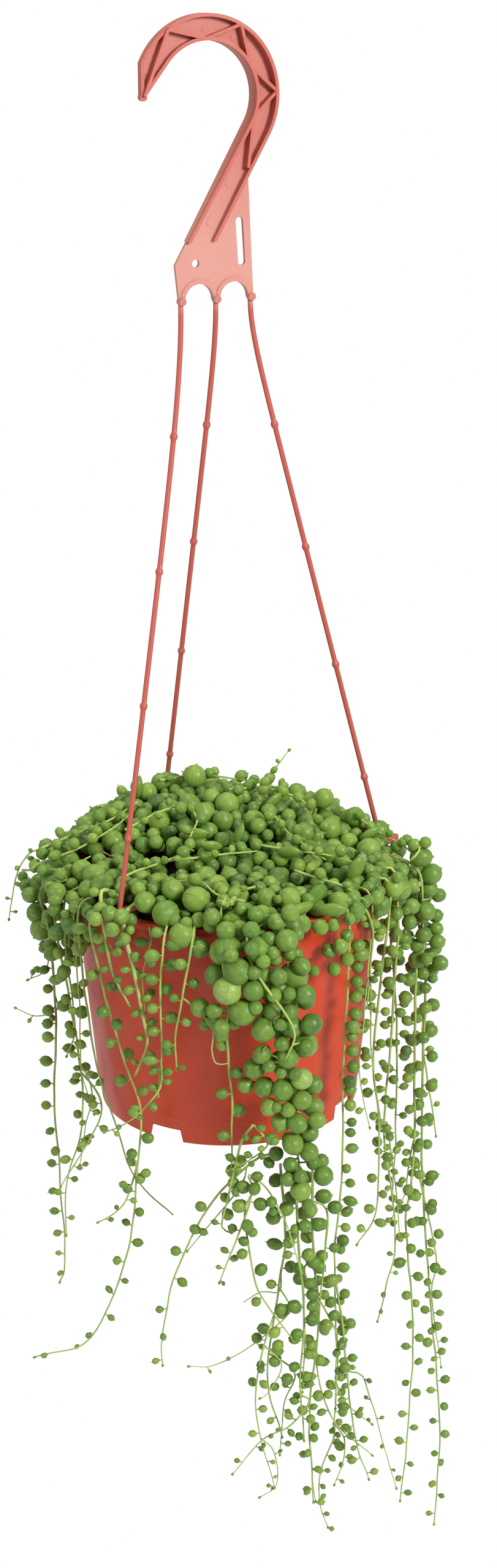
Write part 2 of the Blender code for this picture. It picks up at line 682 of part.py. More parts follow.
def polyline(name, points, radii, depth):
    """A round solid along points, as a curve turned into a welded mesh."""
    curve = bpy.data.curves.new(name, "CURVE")
    curve.dimensions = "3D"
    curve.bevel_depth = depth
    curve.bevel_resolution = 2
    curve.use_fill_caps = True
    spline = curve.splines.new("POLY")
    spline.points.add(len(points) - 1)
    for knot, point, radius in zip(spline.points, points, radii):
        knot.co = (*point, 1.0)
        knot.radius = radius
    carrier = bpy.data.objects.new(f"{name}_line", curve)
    mesh = bpy.data.meshes.new_from_object(carrier)
    bpy.data.objects.remove(carrier, do_unlink=True)
    mesh.name = name
    bm = bmesh.new()
    bm.from_mesh(mesh)
    bmesh.ops.remove_doubles(bm, verts=bm.verts, dist=1e-6)
    bmesh.ops.triangulate(bm, faces=bm.faces)
    bmesh.ops.recalc_face_normals(bm, faces=bm.faces)
    bm.to_mesh(mesh)
    bm.free()
    return mesh


def strand_head(index):
    """Where a strand leaves the plate."""
    across = index * STRAND_SPACING
    return Vector((
        across * math.cos(HOOK_TURN) - WEB_PLANE * math.sin(HOOK_TURN),
        across * math.sin(HOOK_TURN) + WEB_PLANE * math.cos(HOOK_TURN),
        PLATE_FOOT - LEG_LENGTH - JOINT_GAP,
    ))


def strand_foot(turn):
    """Where a strand meets the top of its clip."""
    reach = LIP_RADIUS + CLIP_CLEARANCE + CLIP_THICKNESS / 2
    return Vector((reach * math.cos(turn), reach * math.sin(turn), CLIP_THICKNESS - RIM_DROP))


def eased(share, bend):
    """How far a strand has swung out at a share of its drop: straight at first."""
    full = 1 - bend * (1 - math.exp(-1 / bend))
    return (share - bend * (1 - math.exp(-share / bend))) / full


def strand_line(index, turn, bend):
    """Points and swellings of one strand, which bulges at each moulded bump."""
    head = strand_head(index)
    foot = strand_foot(turn)
    drop = head.z - foot.z
    shares = [(i / STRAND_STEPS, 1.0) for i in range(STRAND_STEPS + 1)]
    for n in range(1, BUMP_COUNT + 1):
        middle = (n * BUMP_SPACING - LEG_LENGTH) / drop
        if middle + BUMP_LENGTH / drop < 1.0:
            shares = [s for s in shares if abs(s[0] - middle) > BUMP_LENGTH / drop]
            half = BUMP_LENGTH / 2 / drop
            shares += [(middle - half, 1.0), (middle, BUMP_SWELL), (middle + half, 1.0)]
    shares.sort()
    points = []
    for share, _ in shares:
        out = eased(share, bend)
        points.append(Vector((head.x + (foot.x - head.x) * out,
                              head.y + (foot.y - head.y) * out, head.z - drop * share)))
    return points, [swell for _, swell in shares]


def clip_inner_reach():
    """The outside of a clip's inner leg, clear of the pot's wall."""
    return COLLAR_TOP_RADIUS - POT_WALL - 2 * CLIP_CLEARANCE


def clip_blocks(label, turn, cutters):
    """The clip at a strand's foot: outer leg, bridge over the rim, inner leg, tongue."""
    outer_leg = LIP_RADIUS + CLIP_CLEARANCE
    inner_leg = clip_inner_reach()
    bridge_low = CLIP_CLEARANCE
    bridge_high = CLIP_CLEARANCE + CLIP_THICKNESS
    reach = outer_leg + CLIP_THICKNESS
    tongue = reach + CLIP_TONGUE_REACH
    spans = {
        "leg": (outer_leg, reach, -CLIP_LEG_DROP, bridge_high - CLIP_STEP),
        "bridge": (inner_leg - CLIP_THICKNESS, reach - CLIP_STEP, bridge_low, bridge_high),
        "hook": (inner_leg - CLIP_THICKNESS + CLIP_STEP, inner_leg, -CLIP_INNER_DROP,
                 bridge_high - 2 * CLIP_STEP),
        "tongue": (outer_leg + 2 * CLIP_STEP, tongue, bridge_low + CLIP_STEP, bridge_high + 3 * CLIP_STEP),
    }
    found = []
    for part, (low, high, bottom, top) in spans.items():
        width = CLIP_WIDTH if part == "tongue" else CLIP_WIDTH - CLIP_STEP * (5 + len(found))
        name = f"clip_{part}_{label}"
        block = helper(name, box_mesh(name, (high - low, width, top - bottom)), cutters)
        middle = (low + high) / 2
        block.location = (middle * math.cos(turn), middle * math.sin(turn),
                          (top + bottom) / 2 - RIM_DROP)
        block.rotation_euler = (0.0, 0.0, turn)
        found.append(block)
    return found


def build_strand(index, label, turn, parts, cutters, material):
    """One strand of the hanger with its bumps and its clip."""
    name = f"hanger_strand_{label}"
    points, swells = strand_line(index, turn, strand_bends()[label])
    mesh = polyline(name, points, swells, STRAND_DIAMETER / 2)
    strand = new_object(name, mesh, parts, None, material)
    for block in clip_blocks(label, turn, cutters):
        boolean(strand, block, "UNION")
    smooth(strand)
    return strand


def beside_rim(point):
    """A drawn point in metres, moved out or in with the rim."""
    x, y, z = (value * MM for value in point)
    drawn = math.hypot(x, y)
    share = (drawn + LIP_RADIUS - DRAWN_RIM_RADIUS) / drawn
    return Vector((x * share, y * share, z))


def resampled(points, pitch):
    """Points at an even pitch along a route, and the route's last point."""
    route = [beside_rim(point) for point in points]
    found = [route[0]]
    left = pitch
    for one, two in zip(route, route[1:]):
        length = (two - one).length
        done = left
        while done < length:
            found.append(one.lerp(two, done / length))
            done += pitch
        left = done - length
    if (found[-1] - route[-1]).length < pitch / 2:
        found.pop()
    return found + [route[-1]]


def build_trail(name, girth, points, parts, frame, material):
    """One trailing stem with its pearls as a lumpy string that thins to its tip."""
    line = resampled(points, TRAIL_SEGMENT)
    radii = []
    for i in range(len(line)):
        thinned = 1.0 - TRAIL_THINNING * i / (len(line) - 1)
        radii.append(thinned * (1.0 if i % 2 else TRAIL_NECK))
    mesh = polyline(name, line, radii, girth * MM)
    trail = new_object(name, mesh, parts, frame, material)
    smooth(trail)
    return trail


def build_cluster(name, place, half_sizes, parts, frame, material):
    """A closed lump that stands for a bunch of big pearls."""
    bm = bmesh.new()
    bmesh.ops.create_icosphere(bm, subdivisions=2, radius=1.0)
    for i, vert in enumerate(bm.verts):
        vert.co *= 1.0 - CLUSTER_DIMPLE * (i % 3)
    bmesh.ops.scale(bm, vec=[half * MM for half in half_sizes], verts=bm.verts)
    cluster = new_object(name, mesh_of(name, bm), parts, frame, material)
    cluster.location = beside_rim(place)
    smooth(cluster)
    return cluster


def main():
    """Build every part of the hanging plant."""
    remove_objects()
    parts = make_collection("potted_string_of_pearls", bpy.context.scene.collection)
    cutters = make_collection("cutters", bpy.context.scene.collection)
    cutters.hide_render = True
    rim = frame_empty("rim_plane", parts, height=-RIM_DROP)
    hanger = frame_empty("hanger_plane", parts, turn=HOOK_TURN)
    build_pot(parts, cutters, rim, pot_plastic())
    build_mix(parts, rim, potting_mix_material())
    moulding = hanger_plastic()
    build_hook(parts, cutters, hanger, moulding)
    for index, (label, turn) in zip((-1, 0, 1), clip_turns().items()):
        build_strand(index, label, turn, parts, cutters, moulding)
    build_crown(parts, cutters, rim, crown_green())
    for name, (place, half_sizes) in CLUSTERS.items():
        build_cluster(name, place, half_sizes, parts, rim, cluster_green())
    for name, (girth, points) in TRAILS.items():
        build_trail(name, girth, points, parts, rim, stem_green())


if __name__ == "__main__":
    main()
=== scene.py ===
"""Potted string of pearls: hanging pot, one-piece hanger, potting mix and plant.

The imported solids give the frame. Every visible piece is modelled here in
metres in that frame and dressed with its own procedural finish. Tables of
routes and pearls are in millimetres from the middle of the pot's rim.
"""

import json
import logging
import random
from dataclasses import dataclass, field
from enum import Enum
from math import cos, exp, hypot, pi, radians, sin, sqrt

import bmesh
import bpy
import numpy as np
from mathutils import Matrix, Vector, noise

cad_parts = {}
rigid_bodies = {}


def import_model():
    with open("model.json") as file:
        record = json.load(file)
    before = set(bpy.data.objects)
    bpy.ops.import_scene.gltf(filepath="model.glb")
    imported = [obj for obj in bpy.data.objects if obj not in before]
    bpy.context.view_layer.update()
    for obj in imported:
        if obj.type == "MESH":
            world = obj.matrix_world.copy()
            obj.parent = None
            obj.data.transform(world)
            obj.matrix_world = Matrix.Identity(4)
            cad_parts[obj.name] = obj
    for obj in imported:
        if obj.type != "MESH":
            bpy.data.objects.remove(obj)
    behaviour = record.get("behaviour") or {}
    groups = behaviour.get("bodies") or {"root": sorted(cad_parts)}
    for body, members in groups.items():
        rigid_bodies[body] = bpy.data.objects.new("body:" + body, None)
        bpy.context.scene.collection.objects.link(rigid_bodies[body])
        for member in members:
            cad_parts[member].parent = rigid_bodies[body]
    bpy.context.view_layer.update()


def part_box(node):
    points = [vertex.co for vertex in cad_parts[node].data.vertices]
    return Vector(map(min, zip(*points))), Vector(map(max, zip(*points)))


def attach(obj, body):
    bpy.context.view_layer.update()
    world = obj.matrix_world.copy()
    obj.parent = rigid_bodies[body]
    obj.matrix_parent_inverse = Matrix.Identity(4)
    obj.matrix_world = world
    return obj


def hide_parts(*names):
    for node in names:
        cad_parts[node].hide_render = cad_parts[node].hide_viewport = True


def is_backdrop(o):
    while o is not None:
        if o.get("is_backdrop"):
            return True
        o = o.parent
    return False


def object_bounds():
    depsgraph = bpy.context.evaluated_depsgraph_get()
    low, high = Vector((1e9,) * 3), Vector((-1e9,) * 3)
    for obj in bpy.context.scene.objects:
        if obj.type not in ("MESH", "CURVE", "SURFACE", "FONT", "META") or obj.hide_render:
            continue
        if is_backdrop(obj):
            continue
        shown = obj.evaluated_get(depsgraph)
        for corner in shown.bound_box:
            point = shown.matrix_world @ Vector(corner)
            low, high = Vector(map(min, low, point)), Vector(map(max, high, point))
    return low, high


LOG = logging.getLogger("pearls")
MM = 0.001
BODY = "root"
NOISE_SEED = 7

Pair = tuple[float, float]
Point = tuple[float, float, float]
Colour = tuple[float, float, float]
Ball = tuple[float, float, float, float]
Node = bpy.types.Node
NodeTree = bpy.types.NodeTree
Socket = bpy.types.NodeSocket
Material = bpy.types.Material
Mesh = bpy.types.Mesh
Object = bpy.types.Object
BMesh = bmesh.types.BMesh
Dice = random.Random


# Finishes.

class Tree:
    """A node tree that is being wired."""

    def __init__(self, tree: NodeTree) -> None:
        """Keep the node tree of a material or of a group."""
        self.tree = tree

    def add(self, kind: str, **settings: object) -> Node:
        """Add a node.

        Args:
            kind: The node's type, without the ShaderNode in front.
            **settings: Properties of the node.

        Returns:
            The new node.
        """
        node = self.tree.nodes.new(f"ShaderNode{kind}")
        for name, value in settings.items():
            setattr(node, name, value)
        return node

    def wire(self, source: Socket, target: Socket) -> None:
        """Join an output to an input."""
        self.tree.links.new(source, target)

    def mix(self, share: object, first: object, second: object) -> Socket:
        """Blend two colours.

        Args:
            share: A number or an output; how much of the second shows.
            first: A colour or an output.
            second: A colour or an output.

        Returns:
            The blended colour's output.
        """
        node = self.add("Mix", data_type="RGBA", clamp_factor=True)
        for socket, value in ((node.inputs[0], share), (node.inputs[6], first), (node.inputs[7], second)):
            self.give(socket, value)
        return node.outputs[2]

    def maths(self, operation: str, first: object, second: object = 0.0) -> Socket:
        """Do one sum.

        Args:
            operation: The Math node's operation.
            first: A number or an output.
            second: A number or an output.

        Returns:
            The result's output.
        """
        node = self.add("Math", operation=operation)
        self.give(node.inputs[0], first)
        self.give(node.inputs[1], second)
        return node.outputs[0]

    def give(self, socket: Socket, value: object) -> None:
        """Set or wire an input, whichever the value is.

        Args:
            socket: The input.
            value: A number, a colour or an output.
        """
        if isinstance(value, Socket):
            self.wire(value, socket)
        elif isinstance(value, tuple) and len(value) == 3:
            socket.default_value = (*value, 1.0)
        else:
            socket.default_value = value

    def place(self) -> Socket:
        """The place on the piece, in metres."""
        return self.add("TexCoord").outputs["Object"]

    def split(self, kind: str, source: Socket) -> list[Socket]:
        """The three parts of a colour or a vector."""
        node = self.add(kind)
        self.wire(source, node.inputs[0])
        return list(node.outputs)

    def span(self, value: object, low: float, high: float, start: float, end: float) -> Socket:
        """Map a value from one span to another, held inside it.

        Args:
            value: An output.
            low: The value that gives start.
            high: The value that gives end.
            start: The result at low.
            end: The result at high.

        Returns:
            The mapped value's output.
        """
        node = self.add("MapRange", clamp=True)
        for socket, given in zip(node.inputs, (value, low, high, start, end)):
            self.give(socket, given)
        return node.outputs[0]

    def cloud(self, scale: float, detail: float = 3.0, stretch: Point = (1.0, 1.0, 1.0)) -> Socket:
        """Soft noise over the piece.

        Args:
            scale: How many blotches there are to a metre.
            detail: How many finer layers it has.
            stretch: How much finer it is along each axis.

        Returns:
            The noise's output, from 0 to 1.
        """
        turned = self.add("Mapping")
        turned.inputs["Scale"].default_value = stretch
        self.wire(self.place(), turned.inputs["Vector"])
        return self.grain(turned.outputs[0], scale, detail)

    def grain(self, spot: Socket, scale: object, detail: float) -> Socket:
        """Soft noise at a spot.

        Args:
            spot: The output that gives the spot.
            scale: How many blotches there are to a metre, or an output.
            detail: How many finer layers it has.

        Returns:
            The noise's output, from 0 to 1.
        """
        node = self.add("TexNoise")
        self.wire(spot, node.inputs["Vector"])
        self.give(node.inputs["Scale"], scale)
        node.inputs["Detail"].default_value = detail
        return node.outputs["Fac"]


class Effects:
    """Node groups that more than one finish uses, each built once."""

    _built: dict[str, NodeTree] = {}

    @classmethod
    def _start(cls, name: str, takes: dict[str, str], gives: dict[str, str]) -> tuple[Tree, dict, dict]:
        """Begin a group.

        Args:
            name: The group's name.
            takes: Its inputs, each with its kind of socket.
            gives: Its outputs, each with its kind of socket.

        Returns:
            The group's tree, its input sockets and its output sockets.
        """
        group = bpy.data.node_groups.new(name, "ShaderNodeTree")
        for label, kind in takes.items():
            group.interface.new_socket(name=label, in_out="INPUT", socket_type=kind)
        for label, kind in gives.items():
            group.interface.new_socket(name=label, in_out="OUTPUT", socket_type=kind)
        tree = Tree(group)
        way_in = group.nodes.new("NodeGroupInput")
        way_out = group.nodes.new("NodeGroupOutput")
        cls._built[name] = group
        inputs = {label: way_in.outputs[label] for label in takes}
        outputs = {label: way_out.inputs[label] for label in gives}
        return tree, inputs, outputs

    @classmethod
    def blotches(cls) -> NodeTree:
        """Slow drift of one colour into another over a surface.

        Returns:
            A group from two colours, a scale and an amount to a colour.
        """
        if "blotches" not in cls._built:
            colour, number = "NodeSocketColor", "NodeSocketFloat"
            tree, given, out = cls._start(
                "blotches",
                {"Base": colour, "Second": colour, "Scale": number, "Amount": number},
                {"Color": colour, "Mask": number},
            )
            mask = tree.span(tree.grain(tree.place(), given["Scale"], 4.0), 0.38, 0.66, 0.0, 1.0)
            share = tree.maths("MULTIPLY", mask, given["Amount"])
            tree.wire(tree.mix(share, given["Base"], given["Second"]), out["Color"])
            tree.wire(mask, out["Mask"])
        return cls._built["blotches"]

    @classmethod
    def skin(cls) -> NodeTree:
        """Fine unevenness of a moulded or waxy skin.

        Returns:
            A group from a scale and an amount to a height and a roughness.
        """
        if "skin" not in cls._built:
            number = "NodeSocketFloat"
            tree, given, out = cls._start(
                "skin",
                {"Scale": number, "Amount": number, "Rough Low": number, "Rough High": number},
                {"Height": number, "Roughness": number},
            )
            place = tree.place()
            fine = tree.grain(place, given["Scale"], 5.0)
            tree.wire(tree.maths("MULTIPLY", fine, given["Amount"]), out["Height"])
            share = tree.span(tree.grain(place, 45.0, 2.0), 0.35, 0.65, 0.0, 1.0)
            low = tree.maths("MULTIPLY", given["Rough Low"], tree.maths("SUBTRACT", 1.0, share))
            high = tree.maths("MULTIPLY", given["Rough High"], share)
            tree.wire(tree.maths("ADD", low, high), out["Roughness"])
        return cls._built["skin"]

    @classmethod
    def place(cls, tree: Tree, group: NodeTree, **values: object) -> Node:
        """Put a group in a material.

        Args:
            tree: The material's tree.
            group: The group.
            **values: Its inputs; an underscore stands for a space.

        Returns:
            The group's node.
        """
        node = tree.add("Group", node_tree=group)
        for name, value in values.items():
            tree.give(node.inputs[name.replace("_", " ")], value)
        return node


def new_material(name: str) -> tuple[Material, Tree, Node]:
    """A material with its Principled shader.

    Args:
        name: The material's name.

    Returns:
        The material, its tree and its shader node.
    """
    made = bpy.data.materials.new(name)
    made.use_nodes = True
    return made, Tree(made.node_tree), made.node_tree.nodes["Principled BSDF"]


BUMP_STRENGTH = 0.6
WAX_INDEX = 1.4
PLASTIC_INDEX = 1.49
LEAF_GLOW = (0.5, 1.0, 0.2)
PLASTIC_GLOW = (1.0, 0.35, 0.2)


def fix(node: Node, **values: object) -> None:
    """Set a node's plain inputs; an underscore stands for a space."""
    for name, value in values.items():
        node.inputs[name.replace("_", " ")].default_value = value


def set_skin(tree: Tree, shader: Node, scale: float, rough: Pair, distance: float) -> None:
    """Give the shader the roughness and the bumps of a fine skin.

    Args:
        tree: The material's tree.
        shader: The Principled shader.
        scale: How many bumps there are to a metre.
        rough: The least and the most roughness.
        distance: How far a height of 1 stands out, in metres.
    """
    skin = Effects.place(tree, Effects.skin(), Scale=scale, Amount=1.0,
                         Rough_Low=rough[0], Rough_High=rough[1])
    tree.wire(skin.outputs["Roughness"], shader.inputs["Roughness"])
    bump = tree.add("Bump")
    fix(bump, Strength=BUMP_STRENGTH, Distance=distance)
    tree.wire(skin.outputs["Height"], bump.inputs["Height"])
    tree.wire(bump.outputs[0], shader.inputs["Normal"])


def set_glow(shader: Node, index: float, weight: float, radius: Point, reach: float) -> None:
    """Set the refractive index, and how much light passes through the skin and how far."""
    fix(shader, IOR=index, Subsurface_Weight=weight, Subsurface_Radius=radius, Subsurface_Scale=reach)


@dataclass(frozen=True)
class PlasticFinish:
    """Satin injection-moulded plastic, a little dusty and scuffed.

    Attributes:
        name: The material's name.
        colour: Its main colour.
        faded: The paler colour that it drifts to.
        dust: The colour of the dust that lies on it.
        translucency: How much light passes through the skin.
        reach: How far that light goes, in metres.
        thin: Paler painted light on the hook's thin web, not a colour of the plastic.
        web_painted_light_share: How much of that painted light shows there.
        facing: The way that the plate's back faces.
    """

    name: str
    colour: Colour
    faded: Colour
    dust: Colour
    translucency: float
    reach: float
    smooth_rough: float = 0.34
    dull_rough: float = 0.48
    thin: Colour = (0.84, 0.42, 0.34)
    web_painted_light_share: float = 0.0
    facing: Point = (-0.438, 0.899, 0.0)

    def build(self) -> Material:
        """Make the material."""
        made, tree, shader = new_material(self.name)
        drift = Effects.place(tree, Effects.blotches(), Base=self.colour, Second=self.faded,
                              Scale=14.0, Amount=0.45)
        flow = tree.cloud(9.0, 2.0, (1.0, 1.0, 0.25))
        flowed = tree.mix(tree.span(flow, 0.45, 0.7, 0.0, 0.3), drift.outputs["Color"], self.faded)
        # Painted light: a paler colour on the hook stands in for light on and through the thin plastic.
        # It shows in full on the web faces and a quarter on the rib faces, fades to about a third towards
        # the top of the hook, and stops below the plate.
        place = tree.place()
        height = tree.split("SeparateXYZ", place)[2]
        above = tree.span(height, -110 * MM, -104 * MM, 0.0, 1.0)
        below = tree.span(height, -78 * MM, -36 * MM, self.web_painted_light_share, 0.35 * self.web_painted_light_share)
        depth = tree.add("VectorMath", operation="DOT_PRODUCT")
        tree.wire(place, depth.inputs[0])
        depth.inputs[1].default_value = self.facing
        flat = tree.span(depth.outputs[1], -1.2 * MM, 0.4 * MM, 0.25, 1.0)
        share = tree.maths("MULTIPLY", tree.maths("MULTIPLY", above, below), flat)
        web_light_painted = tree.mix(share, flowed, self.thin)
        specks = tree.span(tree.cloud(900.0, 1.0), 0.68, 0.76, 0.0, 0.14)
        tree.wire(tree.mix(specks, web_light_painted, self.dust), shader.inputs["Base Color"])
        set_glow(shader, PLASTIC_INDEX, self.translucency, PLASTIC_GLOW, self.reach)
        set_skin(tree, shader, 1400.0, (self.smooth_rough, self.dull_rough), 0.06 * MM)
        return made


@dataclass(frozen=True)
class PearlFinish:
    """Waxy succulent skin, read from the colours stored with each pearl.

    Red is how light and yellow the pearl is, green is the dark window along
    one side, blue is how mottled its skin is, and alpha runs round it.
    """

    name: str = "pearl_skin"
    deep: Colour = (0.042, 0.112, 0.022)
    middle: Colour = (0.112, 0.225, 0.026)
    light: Colour = (0.27, 0.40, 0.055)
    window: Colour = (0.030, 0.088, 0.010)
    bloom_and_sheen: Colour = (0.35, 0.47, 0.19)

    def build(self) -> Material:
        """Make the material."""
        made, tree, shader = new_material(self.name)
        stored = tree.add("Attribute", attribute_name="pearl")
        parts = tree.split("SeparateColor", stored.outputs["Color"])
        ramp = tree.add("ValToRGB")
        ramp.color_ramp.elements[0].color = (*self.deep, 1.0)
        ramp.color_ramp.elements[1].color = (*self.light, 1.0)
        ramp.color_ramp.elements.new(0.5).color = (*self.middle, 1.0)
        tree.wire(parts[0], ramp.inputs[0])
        drift = Effects.place(tree, Effects.blotches(), Base=ramp.outputs[0], Second=self.light,
                              Scale=260.0, Amount=0.28)
        freckles = tree.span(tree.cloud(1500.0, 2.0), 0.5, 0.62, 0.0, 1.0)
        mottled = tree.mix(tree.maths("MULTIPLY", freckles, parts[2]),
                           drift.outputs["Color"], self.bloom_and_sheen)
        turn = tree.maths("SINE", tree.maths("MULTIPLY", stored.outputs["Alpha"], 44.0))
        stripes = tree.maths("MULTIPLY", tree.span(turn, 0.1, 1.0, 0.0, 0.16), parts[0])
        veined = tree.mix(stripes, mottled, self.bloom_and_sheen)
        line = tree.span(parts[1], 0.2, 1.0, 0.0, 0.6)
        striped = tree.mix(line, veined, self.window)
        # Painted sheen: the paler bloom colour is mixed in where the skin turns away from the view,
        # standing in for the sheen of the waxy skin. Elsewhere the same colour is the skin's real bloom,
        # in the freckles and stripes.
        facing = tree.add("LayerWeight")
        fix(facing, Blend=0.28)
        painted_sheen = tree.span(facing.outputs["Facing"], 0.3, 1.0, 0.0, 0.12)
        tree.wire(tree.mix(painted_sheen, striped, self.bloom_and_sheen), shader.inputs["Base Color"])
        set_glow(shader, WAX_INDEX, 0.22, LEAF_GLOW, 2.5 * MM)
        set_skin(tree, shader, 2600.0, (0.33, 0.46), 0.05 * MM)
        return made


@dataclass(frozen=True)
class StemFinish:
    """Thin green stem with pale joints and brown corky stretches."""

    name: str = "stem_skin"
    green: Colour = (0.25, 0.37, 0.065)
    pale: Colour = (0.47, 0.58, 0.16)
    cork: Colour = (0.20, 0.10, 0.045)

    def build(self) -> Material:
        """Make the material."""
        made, tree, shader = new_material(self.name)
        stored = tree.add("Attribute", attribute_name="pearl")
        parts = tree.split("SeparateColor", stored.outputs["Color"])
        drift = Effects.place(tree, Effects.blotches(), Base=self.green, Second=self.pale,
                              Scale=120.0, Amount=0.8)
        lighter = tree.mix(tree.maths("MULTIPLY", parts[0], 0.55), drift.outputs["Color"], self.pale)
        fibres = tree.span(tree.cloud(700.0, 3.0, (1.0, 1.0, 0.2)), 0.4, 0.6, 0.45, 1.0)
        corky = tree.maths("MULTIPLY", parts[2], fibres)
        tree.wire(tree.mix(corky, lighter, self.cork), shader.inputs["Base Color"])
        set_glow(shader, WAX_INDEX, 0.12, LEAF_GLOW, 1.0 * MM)
        set_skin(tree, shader, 1800.0, (0.42, 0.6), 0.08 * MM)
        return made


@dataclass(frozen=True)
class MixFinish:
    """Damp peaty potting mix and the crumbs on it."""

    name: str = "peaty_mix"
    dark: Colour = (0.014, 0.009, 0.006)
    fibre: Colour = (0.085, 0.048, 0.024)

    def build(self) -> Material:
        """Make the material."""
        made, tree, shader = new_material(self.name)
        drift = Effects.place(tree, Effects.blotches(), Base=self.dark, Second=self.fibre,
                              Scale=420.0, Amount=0.7)
        flecks = tree.span(tree.cloud(2300.0, 2.0), 0.62, 0.7, 0.0, 0.6)
        tree.wire(tree.mix(flecks, drift.outputs["Color"], self.fibre), shader.inputs["Base Color"])
        fix(shader, Specular_IOR_Level=0.25)
        set_skin(tree, shader, 900.0, (0.85, 0.98), 0.7 * MM)
        return made


@dataclass(frozen=True)
class StageFinish:
    """Plain pale studio floor."""

    name: str = "studio_floor"
    colour: Colour = (0.93, 0.93, 0.93)

    def build(self) -> Material:
        """Make the material."""
        made, tree, shader = new_material(self.name)
        fix(shader, Base_Color=(*self.colour, 1.0), Roughness=0.9, Specular_IOR_Level=0.0)
        glow = tree.add("Emission")
        path = tree.add("LightPath")
        both = tree.add("MixShader")
        tree.wire(path.outputs["Is Camera Ray"], both.inputs[0])
        tree.wire(shader.outputs[0], both.inputs[1])
        tree.wire(glow.outputs[0], both.inputs[2])
        tree.wire(both.outputs[0], made.node_tree.nodes["Material Output"].inputs["Surface"])
        return made


class Finish(Enum):
    """Every finish on the plant and its pot."""

    POT = PlasticFinish("pot_polypropylene", (0.62, 0.048, 0.006), (0.56, 0.052, 0.011),
                        (0.52, 0.24, 0.16), 0.04, 0.0015)
    HANGER = PlasticFinish("hanger_polypropylene", (0.48, 0.088, 0.056), (0.50, 0.11, 0.075),
                           (0.60, 0.31, 0.25), 0.10, 0.0015, 0.36, 0.5, (0.61, 0.285, 0.23), 0.9)
    PEARL = PearlFinish()
    STEM = StemFinish()
    MIX = MixFinish()

    def material(self) -> Material:
        """The finish's material, made when it is first asked for."""
        known = bpy.data.materials.get(self.value.name)
        return known or self.value.build()


# Mesh work.

def tidy_mesh(name: str, bm: BMesh) -> Mesh:
    """A mesh of a bmesh, facing out.

    Args:
        name: The mesh's name.
        bm: The bmesh, which is freed.

    Returns:
        The mesh.
    """
    bmesh.ops.recalc_face_normals(bm, faces=bm.faces)
    mesh = bpy.data.meshes.new(name)
    bm.to_mesh(mesh)
    bm.free()
    return mesh


def linked(name: str, data: bpy.types.ID) -> Object:
    """An object of a mesh, lamp or camera, in the scene."""
    made = bpy.data.objects.new(name, data)
    bpy.context.scene.collection.objects.link(made)
    return made


def loft(bm: BMesh, rings: list[list[bmesh.types.BMVert]]) -> None:
    """Join closed rings by faces, and close both ends.

    Args:
        bm: The bmesh.
        rings: The rings, each with as many points as the next.
    """
    for one, two in zip(rings, rings[1:]):
        for k in range(len(one)):
            n = (k + 1) % len(one)
            bm.faces.new((one[k], one[n], two[n], two[k]))
    bm.faces.new(rings[0])
    bm.faces.new(list(reversed(rings[-1])))


def finished(obj: Object, finish: "Finish") -> None:
    """Give an object one finish and nothing else."""
    obj.data.materials.clear()
    obj.data.materials.append(finish.material())


def settle(obj: Object) -> None:
    """Apply an object's modifiers and its place to its mesh."""
    bpy.context.view_layer.update()
    evaluated = obj.evaluated_get(bpy.context.evaluated_depsgraph_get())
    mesh = bpy.data.meshes.new_from_object(evaluated)
    mesh.transform(obj.matrix_world)
    obj.modifiers.clear()
    obj.matrix_world = Matrix.Identity(4)
    obj.data = mesh


class Joinery:
    """Joins and cuts one moulding with others by exact Booleans."""

    def __init__(self, obj: Object) -> None:
        """Start from the object that others are joined to or cut from."""
        self.obj = obj
        self.others: list[Object] = []

    def _take(self, mesh: Mesh, place: Matrix, operation: str) -> None:
        """Add one step.

        Args:
            mesh: The mesh that is joined or cut.
            place: Where it stands.
            operation: The Boolean's operation.
        """
        other = linked(mesh.name, mesh)
        other.matrix_world = place
        self.others.append(other)
        step = self.obj.modifiers.new(operation.lower(), "BOOLEAN")
        step.operation = operation
        step.solver = "EXACT"
        step.object = other

    def add(self, mesh: Mesh, place: Matrix = Matrix.Identity(4)) -> None:
        """Join a mesh that stands at a place."""
        self._take(mesh, place, "UNION")

    def cut(self, mesh: Mesh, place: Matrix = Matrix.Identity(4)) -> None:
        """Cut a mesh that stands at a place."""
        self._take(mesh, place, "DIFFERENCE")

    def done(self) -> None:
        """Apply the steps and remove what they used."""
        settle(self.obj)
        for other in self.others:
            bpy.data.objects.remove(other, do_unlink=True)


def ease_edges(obj: Object, width: float, segments: int = 2, angle: float = 32.0) -> None:
    """Round an object's sharp edges and shade it smooth.

    Args:
        obj: The object.
        width: The width of the rounding, in metres.
        segments: How many steps each rounding has.
        angle: The least angle, in degrees, that counts as sharp.
    """
    bevel = obj.modifiers.new("eased", "BEVEL")
    bevel.width = width
    bevel.segments = segments
    bevel.limit_method = "ANGLE"
    bevel.angle_limit = radians(angle)
    bevel.harden_normals = True
    bevel.use_clamp_overlap = True
    for face in obj.data.polygons:
        face.use_smooth = True
    settle(obj)


def arc(centre: Pair, radius: float, start: float, end: float,
        steps: int) -> list[Pair]:
    """Points of an arc.

    Args:
        centre: Its centre.
        radius: Its radius.
        start: Where it starts, in radians.
        end: Where it ends, in radians.
        steps: How many steps it has.

    Returns:
        The points.
    """
    return [
        (centre[0] + radius * cos(start + (end - start) * i / steps),
         centre[1] + radius * sin(start + (end - start) * i / steps))
        for i in range(steps + 1)
    ]


def round_slot(length: float, width: float, steps: int) -> list[Pair]:
    """The outline of a round-ended slot along the first axis, centred."""
    reach = length / 2 - width / 2
    outline = arc((reach, 0.0), width / 2, -pi / 2, pi / 2, steps)
    return outline + arc((-reach, 0.0), width / 2, pi / 2, 3 * pi / 2, steps)


